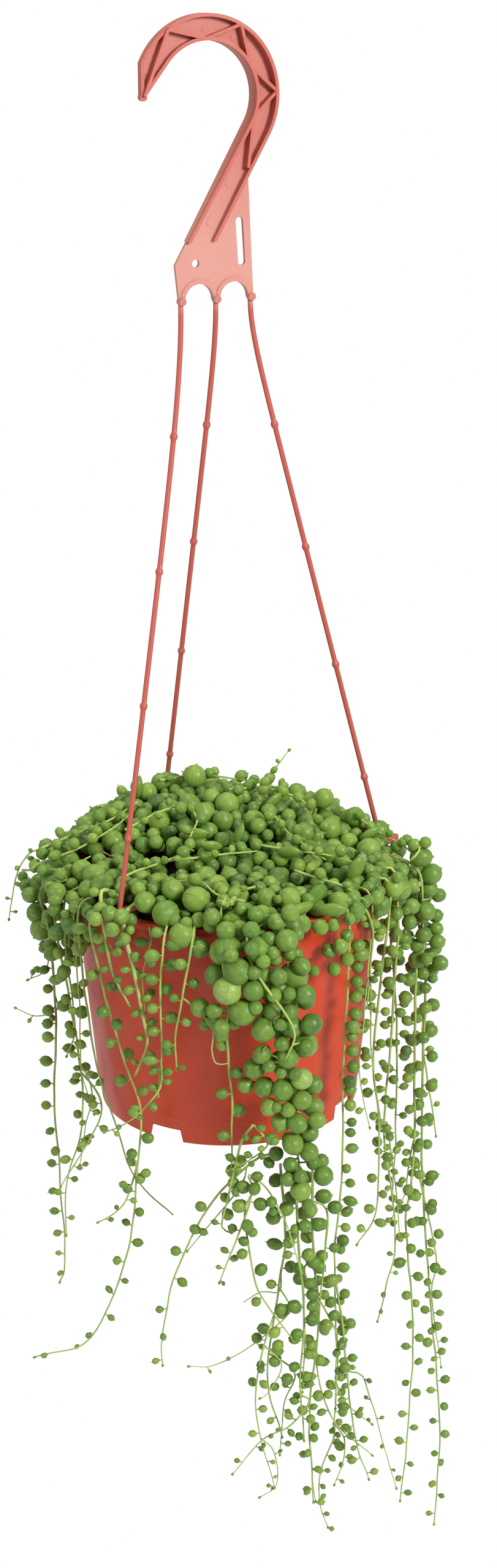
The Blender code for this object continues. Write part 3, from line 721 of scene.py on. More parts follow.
def slab(name: str, outline: list[Pair], front: float, back: float) -> Mesh:
    """A slab in the XZ plane between two depths.

    Args:
        name: The mesh's name.
        outline: Its outline.
        front: How far it reaches towards -Y.
        back: How far it reaches towards +Y.

    Returns:
        The mesh.
    """
    bm = bmesh.new()
    near = [bm.verts.new((x, -front, z)) for x, z in outline]
    far = [bm.verts.new((x, back, z)) for x, z in outline]
    bm.faces.new(near)
    bm.faces.new(list(reversed(far)))
    for i in range(len(outline)):
        j = (i + 1) % len(outline)
        bm.faces.new((near[j], near[i], far[i], far[j]))
    return tidy_mesh(name, bm)


def strip(name: str, path: list[Pair], thickness: float,
          depths: list[Pair]) -> Mesh:
    """A strip that stands on the XZ plane along a path; its left side is the path.

    Args:
        name: The mesh's name.
        path: The points that it follows.
        thickness: How thick it is, to the right of the path.
        depths: One (front, back) pair for each point.

    Returns:
        The mesh.
    """
    bm = bmesh.new()
    rings = []
    for i, point in enumerate(path):
        before = Vector(path[max(i - 1, 0)])
        after = Vector(path[min(i + 1, len(path) - 1)])
        along = (after - before).normalized()
        right = Vector(point) - Vector((-along.y, along.x)) * thickness
        front, back = depths[i]
        rings.append([
            bm.verts.new((point[0], -front, point[1])), bm.verts.new((right.x, -front, right.y)),
            bm.verts.new((right.x, back, right.y)), bm.verts.new((point[0], back, point[1])),
        ])
    loft(bm, rings)
    return tidy_mesh(name, bm)


def drum(name: str, radius: float, length: float, sides: int = 32) -> Mesh:
    """A round peg about Z, centred on its own origin."""
    bm = bmesh.new()
    bmesh.ops.create_cone(bm, cap_ends=True, segments=sides, radius1=radius, radius2=radius, depth=length)
    return tidy_mesh(name, bm)


def block(name: str, size: Point) -> Mesh:
    """A box centred on its own origin."""
    bm = bmesh.new()
    bmesh.ops.create_cube(bm, size=1.0)
    bmesh.ops.scale(bm, vec=size, verts=bm.verts)
    return tidy_mesh(name, bm)


class Form(Enum):
    """Shapes of a pearl: half-length, swell, tip, and thickness across."""

    ROUND = (1.0, 1.0, 0.10, 1.0)
    PLUMP = (1.06, 0.97, 0.16, 0.98)
    LEMON = (1.22, 1.15, 0.34, 0.95)
    ALMOND = (1.75, 1.3, 0.30, 0.62)


class Detail(Enum):
    """How finely a pearl is modelled: columns beside its window, and rings."""

    FINE = (15, 11)
    MEDIUM = (10, 8)
    SMALL = (7, 6)

    @classmethod
    def fit(cls, radius: float) -> "Detail":
        """The detail that suits a pearl of a radius."""
        return cls.FINE if radius > 4.1 * MM else cls.MEDIUM if radius > 2.1 * MM else cls.SMALL


WINDOW_HALF_TURN = radians(6)


class Pattern:
    """One pearl of unit radius along +Z, with its base at the bottom."""

    _made: dict[tuple[Form, Detail], "Pattern"] = {}

    def __init__(self, form: Form, detail: Detail) -> None:
        """Model it.

        Args:
            form: Its shape.
            detail: How finely.
        """
        half, swell, tip, across = form.value
        columns, rings = detail.value
        free = 2 * pi - 2 * WINDOW_HALF_TURN
        turns = [-WINDOW_HALF_TURN, 0.0]
        turns += [WINDOW_HALF_TURN + free * i / (columns - 1) for i in range(columns - 1)]
        shares = [(i + 1) / (rings + 1) for i in range(rings - 1)] + [0.955]
        points = [(0.0, 0.0, -half)]
        window = [0.3]
        round_share = [0.0]
        for share in shares:
            reach = sin(pi * share) ** swell
            height = -half * cos(pi * share)
            for k, turn in enumerate(turns):
                points.append((reach * cos(turn), reach * across * sin(turn), height))
                window.append(1.0 if k == 1 else 0.0)
                round_share.append(min(turn % (2 * pi), -turn % (2 * pi)) / pi)
        points.append((0.0, 0.0, half + tip))
        window.append(0.5)
        round_share.append(0.0)
        count = len(turns)
        faces = [(0, 1 + (k + 1) % count, 1 + k) for k in range(count)]
        for ring in range(rings - 1):
            low, high = 1 + ring * count, 1 + (ring + 1) * count
            for k in range(count):
                n = (k + 1) % count
                faces.append((low + k, low + n, high + n, high + k))
        last, top = 1 + (rings - 1) * count, len(points) - 1
        faces += [(last + k, last + (k + 1) % count, top) for k in range(count)]
        self.points = np.array(points)
        self.window = np.array(window)
        self.round_share = np.array(round_share)
        self.faces = faces

    @classmethod
    def of(cls, form: Form, detail: Detail) -> "Pattern":
        """The pattern of a form and a detail, made once."""
        if (form, detail) not in cls._made:
            cls._made[form, detail] = cls(form, detail)
        return cls._made[form, detail]


@dataclass
class Growth:
    """Stems and pearls of one piece, gathered before they become a mesh."""

    points: list[np.ndarray] = field(default_factory=list)
    notes: list[np.ndarray] = field(default_factory=list)
    faces: list[tuple[int, ...]] = field(default_factory=list)
    slots: list[int] = field(default_factory=list)
    count: int = 0

    def _keep(self, points: np.ndarray, notes: np.ndarray, faces: list[tuple[int, ...]],
              slot: int) -> None:
        """Add points with their notes, and the faces between them.

        Args:
            points: The points.
            notes: Four notes for each point.
            faces: The faces, each as indices of the points.
            slot: The faces' finish: 0 for a stem, 1 for a pearl.
        """
        self.points.append(points)
        self.notes.append(notes)
        start = self.count
        self.faces += [tuple(start + i for i in face) for face in faces]
        self.slots += [slot] * len(faces)
        self.count += len(points)

    def pearl(self, centre: Vector, axis: Vector, radius: float, form: Form, tone: float,
              dice: Dice, mottle: float = 0.0) -> None:
        """Add a pearl.

        Args:
            centre: Its middle.
            axis: The way from its base to its tip.
            radius: Its radius.
            form: Its shape.
            tone: From 0, deep green, to 1, light.
            dice: The piece's own dice.
            mottle: How mottled its skin is.
        """
        detail = Detail.fit(radius)
        pattern = Pattern.of(form, detail)
        way = axis.normalized()
        up = Vector((dice.uniform(-0.7, 0.7), -0.6, 0.8)).normalized()
        side = (up - way * up.dot(way)).normalized()
        other = way.cross(side)
        squash = dice.uniform(0.95, 1.04)
        frame = np.array([side * radius, other * radius * squash, way * radius / squash])
        points = pattern.points @ frame + np.array(centre)
        notes = np.empty((len(points), 4))
        notes[:, 0] = tone
        clear = 0.3 if detail is Detail.SMALL else 1.0
        notes[:, 1] = pattern.window * dice.uniform(0.1, 1.0) * clear
        notes[:, 2] = mottle
        notes[:, 3] = pattern.round_share
        self._keep(points, notes, pattern.faces, 1)

    def stem(self, line: list[Vector], radii: list[float], sides: int = 6, tone: float = 0.3,
             cork: float = 0.0) -> None:
        """Add a stem.

        Args:
            line: The points that it follows.
            radii: Its radius at each.
            sides: How many sides it has.
            tone: From 0, green, to 1, pale.
            cork: How brown it is.
        """
        rings = []
        side = Vector((1.0, 0.13, 0.07))
        for i, point in enumerate(line):
            along = (line[min(i + 1, len(line) - 1)] - line[max(i - 1, 0)]).normalized()
            side = side - along * side.dot(along)
            side = side.normalized() if side.length > 1e-6 else along.orthogonal().normalized()
            other = along.cross(side)
            for k in range(sides):
                turn = 2 * pi * k / sides
                rings.append(point + (side * cos(turn) + other * sin(turn)) * radii[i])
        ends = [line[0], line[-1]]
        points = np.array([*rings, *ends])
        notes = np.tile(np.array([tone, 0.0, cork, 1.0]), (len(points), 1))
        faces = []
        for i in range(len(line) - 1):
            for k in range(sides):
                n = (k + 1) % sides
                low, high = i * sides, (i + 1) * sides
                faces.append((low + k, low + n, high + n, high + k))
        first, last = len(rings), len(rings) + 1
        top = (len(line) - 1) * sides
        faces += [(first, (k + 1) % sides, k) for k in range(sides)]
        faces += [(last, top + k, top + (k + 1) % sides) for k in range(sides)]
        self._keep(points, notes, faces, 0)

    def piece(self, name: str) -> Object:
        """Make the object, with its stem finish and its pearl finish.

        Args:
            name: The piece's name.

        Returns:
            The object.
        """
        mesh = bpy.data.meshes.new(name)
        mesh.from_pydata(np.concatenate(self.points).tolist(), [], self.faces)
        mesh.materials.append(Finish.STEM.material())
        mesh.materials.append(Finish.PEARL.material())
        mesh.polygons.foreach_set("material_index", self.slots)
        mesh.polygons.foreach_set("use_smooth", [True] * len(mesh.polygons))
        store = mesh.attributes.new("pearl", "FLOAT_COLOR", "POINT")
        store.data.foreach_set("color", np.concatenate(self.notes).astype(np.float32).ravel())
        mesh.update()
        return linked(name, mesh)


# Pot, hanger and mix.

def dress(obj: Object, node: str) -> None:
    """Ride a piece on the body, hide the solid that it stands for and report it.

    Args:
        obj: The piece.
        node: The solid that it stands for.
    """
    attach(obj, BODY)
    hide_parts(node)
    LOG.info("%s: %d faces, for %s", obj.name, len(obj.data.polygons), node)


@dataclass(frozen=True)
class Plan:
    """Where the rim is and how big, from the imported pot.

    Attributes:
        rim: Height of the rim's plane.
        foot: Height of the foot's underside.
        lip: Radius of the lip.
        low: Lowest corner that a pearl may reach.
        high: Highest corner that a pearl may reach.
    """

    rim: float
    foot: float
    lip: float
    low: tuple[float, ...]
    high: tuple[float, ...]

    @classmethod
    def from_frame(cls) -> "Plan":
        """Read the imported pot's box and that of the whole plant."""
        low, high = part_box("pot")
        least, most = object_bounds()
        spare = 3 * MM
        return cls(rim=high[2], foot=low[2], lip=(high[1] - low[1]) / 2,
                   low=tuple(value - spare for value in least),
                   high=tuple(value + spare for value in most))

    def keep(self, place: Vector, radius: float) -> Vector:
        """A place moved so that something of a radius there stays inside the plant's box."""
        return Vector([min(max(value, low + radius), high - radius)
                       for value, low, high in zip(place, self.low, self.high)])

    def at(self, x: float, y: float, z: float) -> Vector:
        """A point from the rim's middle, in millimetres, as a place in the frame."""
        return Vector((x * MM, y * MM, self.rim + z * MM))

    def places(self, route: list[Point] | tuple[Point, ...]) -> list[Vector]:
        """A route from the rim's middle, in millimetres, as places in the frame."""
        return [self.at(*point) for point in route]


@dataclass
class PotShell:
    """Tapered pot with a lip, a collar, a notched foot and drain slots."""

    plan: Plan
    lip_height: float = 3.5 * MM
    collar_top: float = 72.3 * MM
    collar_foot: float = 70.8 * MM
    collar_height: float = 20.0 * MM
    body_top: float = 68.2 * MM
    body_foot: float = 61.2 * MM
    foot_top: float = 60.6 * MM
    foot_radius: float = 59.7 * MM
    foot_height: float = 11.0 * MM
    wall: float = 1.2 * MM
    floor: float = 1.6 * MM
    floor_rise: float = 5.0 * MM
    ease: float = 0.45 * MM
    notch_first: float = radians(61)
    notch_span: float = radians(14)
    notch_slope: float = radians(1.3)
    notch_height: float = 6.5 * MM
    notch_step: float = 0.3 * MM
    notches: int = 4
    drains: int = 6
    drain_size: Pair = (14.0 * MM, 3.4 * MM)
    drain_radius: float = 36.0 * MM
    steps: int = 176

    def _rounded(self, corners: list[Point]) -> list[Pair]:
        """A section's points with each corner eased.

        Args:
            corners: Radius, height and easing of each corner.

        Returns:
            The section's points.
        """
        found = []
        for i, (r, z, ease) in enumerate(corners):
            here = Vector((r, z))
            if ease <= 0.0 or i in (0, len(corners) - 1):
                found.append((r, z))
                continue
            before = Vector(corners[i - 1][:2]) - here
            after = Vector(corners[i + 1][:2]) - here
            reach = min(ease, before.length / 2.2, after.length / 2.2)
            start, end = here + before.normalized() * reach, here + after.normalized() * reach
            for share in (0.0, 0.33, 0.67, 1.0):
                one, two = start.lerp(here, share), here.lerp(end, share)
                bent = one.lerp(two, share)
                found.append((bent.x, bent.y))
        return found

    def _section(self) -> list[Pair]:
        """The wall's section, from the floor's top over the rim to the floor's underside.

        Returns:
            Points of radius and height above the rim.
        """
        height = self.plan.rim - self.plan.foot
        ease, wall = self.ease, self.wall
        lip_in = self.collar_top - wall
        floor_top = self.floor_rise + self.floor - height
        floor_low = self.floor_rise - height
        foot_in = self.foot_radius - wall
        foot_up = self.foot_height - height
        return self._rounded([
            (0.0, floor_top, 0.0),
            (self.body_foot - wall, floor_top, 3 * ease),
            (self.body_top - wall, -self.collar_height, ease),
            (self.collar_foot - wall, -self.collar_height + wall, ease),
            (lip_in, -self.lip_height, ease),
            (lip_in, 0.0, 1.6 * ease),
            (self.plan.lip, 0.0, 2.2 * ease),
            (self.plan.lip, -self.lip_height, 1.2 * ease),
            (self.collar_top, -self.lip_height, ease),
            (self.collar_foot, -self.collar_height, 1.4 * ease),
            (self.body_top, -self.collar_height - wall / 2, ease),
            (self.body_foot, foot_up + ease, ease / 2),
            (self.foot_top, foot_up - ease / 2, ease / 3),
            (self.foot_radius, -height, ease),
            (foot_in, -height, ease),
            (foot_in, floor_low, ease),
            (0.0, floor_low, 0.0),
        ])

    def _lift(self, turn: float) -> float:
        """How far the foot's edge is cut up.

        Args:
            turn: An angle round the pot.

        Returns:
            The height of the cut.
        """
        for i in range(self.notches):
            middle = self.notch_first + i * 2 * pi / self.notches
            away = abs((turn - middle + pi) % (2 * pi) - pi)
            share = (self.notch_span / 2 + self.notch_slope - away) / self.notch_slope
            if share > 0:
                return self.notch_height * min(share, 1.0)
        return 0.0

    def _turns(self) -> list[float]:
        """Choose angles round the pot, closer together at the sides of the notches.

        Returns:
            The angles, in order.
        """
        found = {round(2 * pi * i / self.steps, 6) for i in range(self.steps)}
        for i in range(self.notches):
            middle = self.notch_first + i * 2 * pi / self.notches
            for reach in (self.notch_span / 2, self.notch_span / 2 + self.notch_slope):
                for side in (-1, 1):
                    found.add(round((middle + side * reach) % (2 * pi), 6))
        return sorted(found)

    def build(self) -> None:
        """Make the pot."""
        section = self._section()
        low = -(self.plan.rim - self.plan.foot)
        foot_in = self.foot_radius - self.wall
        bm = bmesh.new()
        rings = []
        for turn in self._turns():
            lift = self._lift(turn)
            ring = []
            for r, z in section[1:-1]:
                in_foot = z < low + self.notch_height and r > foot_in - self.ease
                inset = self.notch_step if r < foot_in + self.ease else 0.0
                raised = max(z, low + lift - inset) if in_foot else z
                ring.append(bm.verts.new((r * cos(turn), r * sin(turn), self.plan.rim + raised)))
            rings.append(ring)
        for one, two in zip(rings, rings[1:] + rings[:1]):
            for i in range(len(one) - 1):
                bm.faces.new((one[i], two[i], two[i + 1], one[i + 1]))
        bm.faces.new([ring[0] for ring in rings])
        bm.faces.new([ring[-1] for ring in reversed(rings)])
        bmesh.ops.dissolve_degenerate(bm, dist=1e-7, edges=bm.edges)
        pot = linked("pot_shell", tidy_mesh("pot_shell", bm))
        work = Joinery(pot)
        for i in range(self.drains):
            turn = (i + 0.5) * 2 * pi / self.drains
            cutter = slab(f"drain_{i}", round_slot(*self.drain_size, 8), 3 * self.floor, 3 * self.floor)
            middle = low + self.floor_rise + self.floor / 2 + self.plan.rim
            place = Matrix.Translation((self.drain_radius * cos(turn),
                                        self.drain_radius * sin(turn), middle))
            place @= Matrix.Rotation(turn, 4, "Z") @ Matrix.Rotation(pi / 2, 4, "X")
            work.cut(cutter, place)
        work.done()
        for face in pot.data.polygons:
            face.use_smooth = True
        pot.data.set_sharp_from_angle(angle=radians(48))
        finished(pot, Finish.POT)
        dress(pot, "pot")


@dataclass
class HangerHook:
    """Hook and plate: a web between two flanges, braced by a zigzag of ribs."""

    turn: float = radians(26)
    mouth: float = 21.7 * MM
    mouth_offset: float = 3.8 * MM
    section: float = 10.6 * MM
    flange: float = 1.4 * MM
    inner_depths: Pair = (3.6 * MM, 3.8 * MM)
    outer_depths: Pair = (3.2 * MM, 2.9 * MM)
    end_depths: Pair = (1.6 * MM, 2.9 * MM)
    rib: float = 1.3 * MM
    web_plane: float = 1.5 * MM
    web: float = 1.6 * MM
    tip_inner: Pair = (-31.2 * MM, -20.6 * MM)
    tip_outer: Pair = (-33.2 * MM, -21.4 * MM)
    tip_radius: float = 1.55 * MM
    tip_depth: float = 2.7 * MM
    inner_foot: Pair = (-13.6 * MM, -79.5 * MM)
    outer_foot: Pair = (-0.6 * MM, -80.0 * MM)
    left_corner: Pair = (-18.9 * MM, -89.0 * MM)
    right_corner: Pair = (15.5 * MM, -53.5 * MM)
    plate_foot: float = -104.0 * MM
    slot: Pair = (11.6 * MM, -80.8 * MM)
    slot_size: Pair = (20.0 * MM, 3.4 * MM)
    slot_tilt: float = radians(3)
    eyelet: Pair = (-9.4 * MM, -88.7 * MM)
    eyelet_width: float = 3.3 * MM
    spacing: float = 16.3 * MM
    plate_edge: float = 1.1 * MM
    strand: float = 2.3 * MM
    arch_edge: float = 0.2 * MM
    arch_bead: Pair = (2.8 * MM, 2.0 * MM)
    leg: float = 2.0 * MM
    bump: Pair = (3.3 * MM, 3.0 * MM)
    steps: int = 54
    knot_angles: tuple[float, ...] = (123.5, 91.0, 61.0, 29.5, 1.5, -23.5)
    small_marks: tuple[Pair, ...] = (
        (-30.2, -10.7), (-3.4, 4.4), (9.7, 1.1), (23.0, -20.8),
    )
    large_marks: tuple[Pair, ...] = ((7.4, -56.4), (-1.5, -72.3))
    gate: Pair = (-1.1, -92.9)
    marks: Pair = (1.55 * MM, 2.45 * MM)
    mark_height: float = 0.16 * MM

    def _centre(self) -> Pair:
        """The middle of the mouth; its surface passes through the origin."""
        return (-self.mouth_offset, -sqrt(self.mouth**2 - self.mouth_offset**2))

    def _inner_path(self) -> list[Pair]:
        """The bearing line from the plate up and round to the tip."""
        curve = arc(self._centre(), self.mouth, radians(140), radians(-31), self.steps)
        return list(reversed([self.tip_inner] + curve + [self.inner_foot]))

    def _outer_path(self) -> list[Pair]:
        """The outer line from the tip round and down across the plate."""
        radius = self.mouth + self.section
        curve = arc(self._centre(), radius, radians(155), radians(-29), self.steps)
        return [self.tip_outer] + curve + [self.outer_foot]

    def _web_outline(self) -> list[Pair]:
        """The web from flange to flange, with the plate below.

        Returns:
            Its outline.
        """
        inset = self.flange / 2
        centre = self._centre()
        inner = arc(centre, self.mouth + inset, radians(140), radians(-31), self.steps)
        outer = arc(centre, self.mouth + self.section - inset, radians(155), radians(-29), self.steps)
        half = self.spacing + self.plate_edge
        left = [(self.inner_foot[0], self.inner_foot[1] - inset), self.left_corner]
        left.append((-half, self.plate_foot))
        for side in (-1, 1):
            left += arc((side * self.spacing / 2, self.plate_foot), self._arch(), pi, 0.0, 24)
        tip = [(self.tip_outer[0] + inset / 2, self.tip_outer[1] - inset),
               (self.tip_inner[0] - inset / 2, self.tip_inner[1] - inset)]
        return tip + inner + left + [(half, self.plate_foot), self.right_corner] + list(reversed(outer))

    def _arch(self) -> float:
        """Radius of the gap between two strands."""
        return (self.spacing - self.strand) / 2 - self.arch_edge

    def _ribs(self) -> list[tuple[Pair, Pair]]:
        """Lay the zigzag of ribs between the flanges.

        Returns:
            The two ends of each rib.
        """
        low = self.mouth + self.flange / 2
        high = self.mouth + self.section - self.flange / 2
        centre = self._centre()
        knots = [((self.tip_inner[0] + self.tip_outer[0]) / 2, self.tip_inner[1])]
        for radius, degrees in zip((high, low) * 3, self.knot_angles):
            turn = radians(degrees)
            knots.append((centre[0] + radius * cos(turn), centre[1] + radius * sin(turn)))
        knots.append((self.right_corner[0] - self.flange, self.right_corner[1] + 2 * self.flange))
        return list(zip(knots, knots[1:]))

    def _upright(self, x: float, z: float, depth: float) -> Matrix:
        """The place of a peg that stands square to the web."""
        return Matrix.Translation((x, depth, z)) @ Matrix.Rotation(pi / 2, 4, "X")

    def _join_flanges(self, work: Joinery) -> None:
        """Add both flanges, the ribs and the round tip.

        Args:
            work: The hook's joinery.
        """
        inner = self._inner_path()
        depths = []
        for i in range(len(inner)):
            share = 0.45 + 0.55 * min(1.0, (len(inner) - i) / (0.5 * len(inner)))
            depths.append((self.inner_depths[0] * share, self.inner_depths[1] * share))
        depths[0] = self.end_depths
        work.add(strip("inner_flange", inner, self.flange, depths))
        outer = self._outer_path()
        depths = []
        for i in range(len(outer)):
            share = 0.35 + 0.65 * min(1.0, i / (0.55 * len(outer)))
            depths.append((self.outer_depths[0] * share, self.web_plane + 1.4 * MM * share))
        depths[-1] = (self.end_depths[0], self.web_plane)
        work.add(strip("outer_flange", outer, self.flange, depths))
        depth = (self.outer_depths[0] - 0.35 * MM, self.web_plane)
        for i, (start, end) in enumerate(self._ribs()):
            along = (Vector(end) - Vector(start)).normalized()
            middle = Vector((-along.y, along.x)) * self.rib / 2
            path = [tuple(Vector(start) + middle), tuple(Vector(end) + middle)]
            work.add(strip(f"rib_{i}", path, self.rib, [depth, depth]))
        post = drum("tip_post", self.tip_radius, self.tip_depth, 28)
        work.add(post, self._upright((self.tip_inner[0] + self.tip_outer[0]) / 2,
                                     (self.tip_inner[1] + self.tip_outer[1]) / 2, 0.0))

    def _join_legs(self, work: Joinery) -> None:
        """Add the arches' beads and the tops of the strands with their bumps."""
        depth, thickness = self.arch_bead
        for side in (-1, 1):
            curve = arc((side * self.spacing / 2, self.plate_foot + self.arch_edge),
                        self._arch() - self.arch_edge, pi, 0.0, 24)
            reach = (depth / 2 - self.web_plane, depth / 2 + self.web_plane)
            work.add(strip(f"arch_bead_{side}", curve, -thickness, [reach] * len(curve)))
        overlap = 3.0 * MM
        for i in (-1, 0, 1):
            length = self.leg + overlap
            stub = drum(f"leg_{i + 1}", self.strand / 2, length, 20)
            place = (i * self.spacing, self.web_plane, self.plate_foot - self.leg + length / 2)
            work.add(stub, Matrix.Translation(place))
            width, reach = self.bump
            work.add(drum(f"leg_bump_{i + 1}", width / 2, reach, 24),
                     self._upright(i * self.spacing, self.plate_foot, self.web_plane - reach / 4))

    def _mark(self, work: Joinery) -> None:
        """Add the round ejector marks and the gate's stub, and cut slot and eyelet."""
        face = self.web_plane - self.web / 2
        small, large = self.marks
        spots = [(s, z, small) for s, z in self.small_marks]
        spots += [(s, z, large) for s, z in self.large_marks]
        spots.append((*self.gate, 0.5 * MM))
        for i, (s, z, radius) in enumerate(spots):
            peg = drum(f"mark_{i}", radius, self.web)
            work.add(peg, self._upright(s * MM, z * MM, face - self.mark_height + self.web / 2))
        length, width = self.slot_size
        reach = length / 2 - width / 2
        outline = arc((0.0, reach), width / 2, 0.0, pi, 12)
        outline += arc((0.0, -reach), width / 2, pi, 2 * pi, 12)
        place = Matrix.Translation((self.slot[0], self.web_plane, self.slot[1]))
        work.cut(slab("slot", outline, 3 * self.web, 3 * self.web),
                 place @ Matrix.Rotation(self.slot_tilt, 4, "Y").inverted())
        work.cut(drum("eyelet", self.eyelet_width / 2, 6 * self.web),
                 self._upright(self.eyelet[0], self.eyelet[1], self.web_plane))

    def build(self) -> None:
        """Make the hook and plate."""
        half = self.web / 2
        hook = linked("hook_and_plate", slab("hook_and_plate", self._web_outline(),
                                             half - self.web_plane, half + self.web_plane))
        work = Joinery(hook)
        self._join_flanges(work)
        self._join_legs(work)
        self._mark(work)
        work.done()
        ease_edges(hook, 0.22 * MM)
        hook.data.transform(Matrix.Rotation(self.turn, 4, "Z"))
        finished(hook, Finish.HANGER)
        dress(hook, "hanger_hook")


class Side(Enum):
    """The hanger's strands: index on the plate, angle on the rim, bend at the top."""

    LEFT = (-1, 232.8, 0.12)
    MIDDLE = (0, 112.8, 0.06)
    RIGHT = (1, 20.0, 0.05)

    @property
    def label(self) -> str:
        """The strand's name."""
        return self.name.lower()


@dataclass
class HangerStrand:
    """One strand from the plate down to its clip over the rim."""

    plan: Plan
    hook: HangerHook
    side: Side
    clearance: float = 0.4 * MM
    thickness: float = 2.4 * MM
    width: float = 7.0 * MM
    leg_drop: float = 14.0 * MM
    inner_drop: float = 5.0 * MM
    tongue: float = 8.0 * MM
    collar_reach: float = 72.3 * MM
    wall: float = 1.2 * MM
    gap: float = 0.1 * MM
    bump_spacing: float = 55.5 * MM
    step: float = 0.2 * MM
    bumps: int = 4
    bump_length: float = 3.0 * MM
    bump_swell: float = 1.5
    steps: int = 90
    sides: int = 14

    def _line(self) -> tuple[list[Vector], list[float]]:
        """The strand's way down from the plate, with its bumps.

        Returns:
            The points, and the radius at each.
        """
        index, degrees, bend = self.side.value
        turn, row = radians(degrees), self.hook.turn
        across, depth = index * self.hook.spacing, self.hook.web_plane
        head = Vector((across * cos(row) - depth * sin(row),
                       across * sin(row) + depth * cos(row),
                       self.hook.plate_foot - self.hook.leg - self.gap))
        reach = self.plan.lip + self.clearance + self.thickness / 2
        foot = Vector((reach * cos(turn), reach * sin(turn), self.plan.rim + self.thickness))
        drop = head.z - foot.z
        full = 1 - bend * (1 - exp(-1 / bend))
        shares = {i / self.steps for i in range(self.steps + 1)}
        centres = [(n * self.bump_spacing - self.hook.leg) / drop for n in range(1, self.bumps + 1)]
        half = self.bump_length / 2 / drop
        for middle in centres:
            shares |= {middle + half * k for k in (-1.0, -0.7, -0.35, 0.0, 0.35, 0.7, 1.0)}
        points, radii = [], []
        for share in sorted(s for s in shares if s <= 1.0):
            out = (share - bend * (1 - exp(-share / bend))) / full
            points.append(Vector((head.x + (foot.x - head.x) * out,
                                  head.y + (foot.y - head.y) * out, head.z - drop * share)))
            near = min(abs(share - middle) for middle in centres) / half
            swell = 1 + (self.bump_swell - 1) * max(0.0, 1 - near**2)
            radii.append(self.hook.strand / 2 * swell)
        return points, radii

    def _tube(self, name: str) -> Mesh:
        """The strand as a closed round bar."""
        points, radii = self._line()
        bm = bmesh.new()
        rings = []
        for i, point in enumerate(points):
            along = (points[min(i + 1, len(points) - 1)] - points[max(i - 1, 0)]).normalized()
            side = (Vector((0.0, 1.0, 0.0)) - along * along.y).normalized()
            other = along.cross(side)
            rings.append([
                bm.verts.new(point + (side * cos(2 * pi * k / self.sides)
                                      + other * sin(2 * pi * k / self.sides)) * radii[i])
                for k in range(self.sides)
            ])
        loft(bm, rings)
        return tidy_mesh(name, bm)

    def _clip(self, work: Joinery, turn: float) -> None:
        """Add the outer leg, the bridge over the rim, the inner leg and the tongue.

        Args:
            work: The strand's joinery.
            turn: The clip's angle on the rim.
        """
        outer = self.plan.lip + self.clearance
        inner = self.collar_reach - self.wall - 2 * self.clearance
        low, high = self.clearance, self.clearance + self.thickness
        reach, step = outer + self.thickness, self.step
        spans = (
            (outer, reach, -self.leg_drop, high - step, self.width),
            (inner - self.thickness, reach - step, low, high, self.width - step),
            (inner - self.thickness + step, inner, -self.inner_drop, high - 2 * step,
             self.width - 2 * step),
        )
        around = Matrix.Translation((0.0, 0.0, self.plan.rim)) @ Matrix.Rotation(turn, 4, "Z")
        for i, (near, far, bottom, top, width) in enumerate(spans):
            made = block(f"clip_{self.side.label}_{i}", (far - near, width, top - bottom))
            work.add(made, around @ Matrix.Translation(((near + far) / 2, 0.0, (top + bottom) / 2)))
        half = self.width / 2 + 0.5 * MM
        outline = [(outer + 0.4 * MM, -half), (outer + 0.4 * MM, half)]
        outline += list(reversed(arc((reach + self.tongue - 0.7 * half, 0.0), 0.7 * half,
                                     -pi / 2, pi / 2, 10)))
        tongue = slab(f"tongue_{self.side.label}", outline, -low - 0.2 * MM, high + 0.5 * MM)
        flat = Matrix.Rotation(pi / 2, 4, "X")
        work.add(tongue, around @ flat)

    def build(self) -> None:
        """Make the strand with its clip."""
        name = f"strand_{self.side.label}"
        strand = linked(name, self._tube(name))
        work = Joinery(strand)
        self._clip(work, radians(self.side.value[1]))
        work.done()
        ease_edges(strand, 0.35 * MM, 3, 50.0)
        finished(strand, Finish.HANGER)
        dress(strand, f"hanger_strand_{self.side.label}")


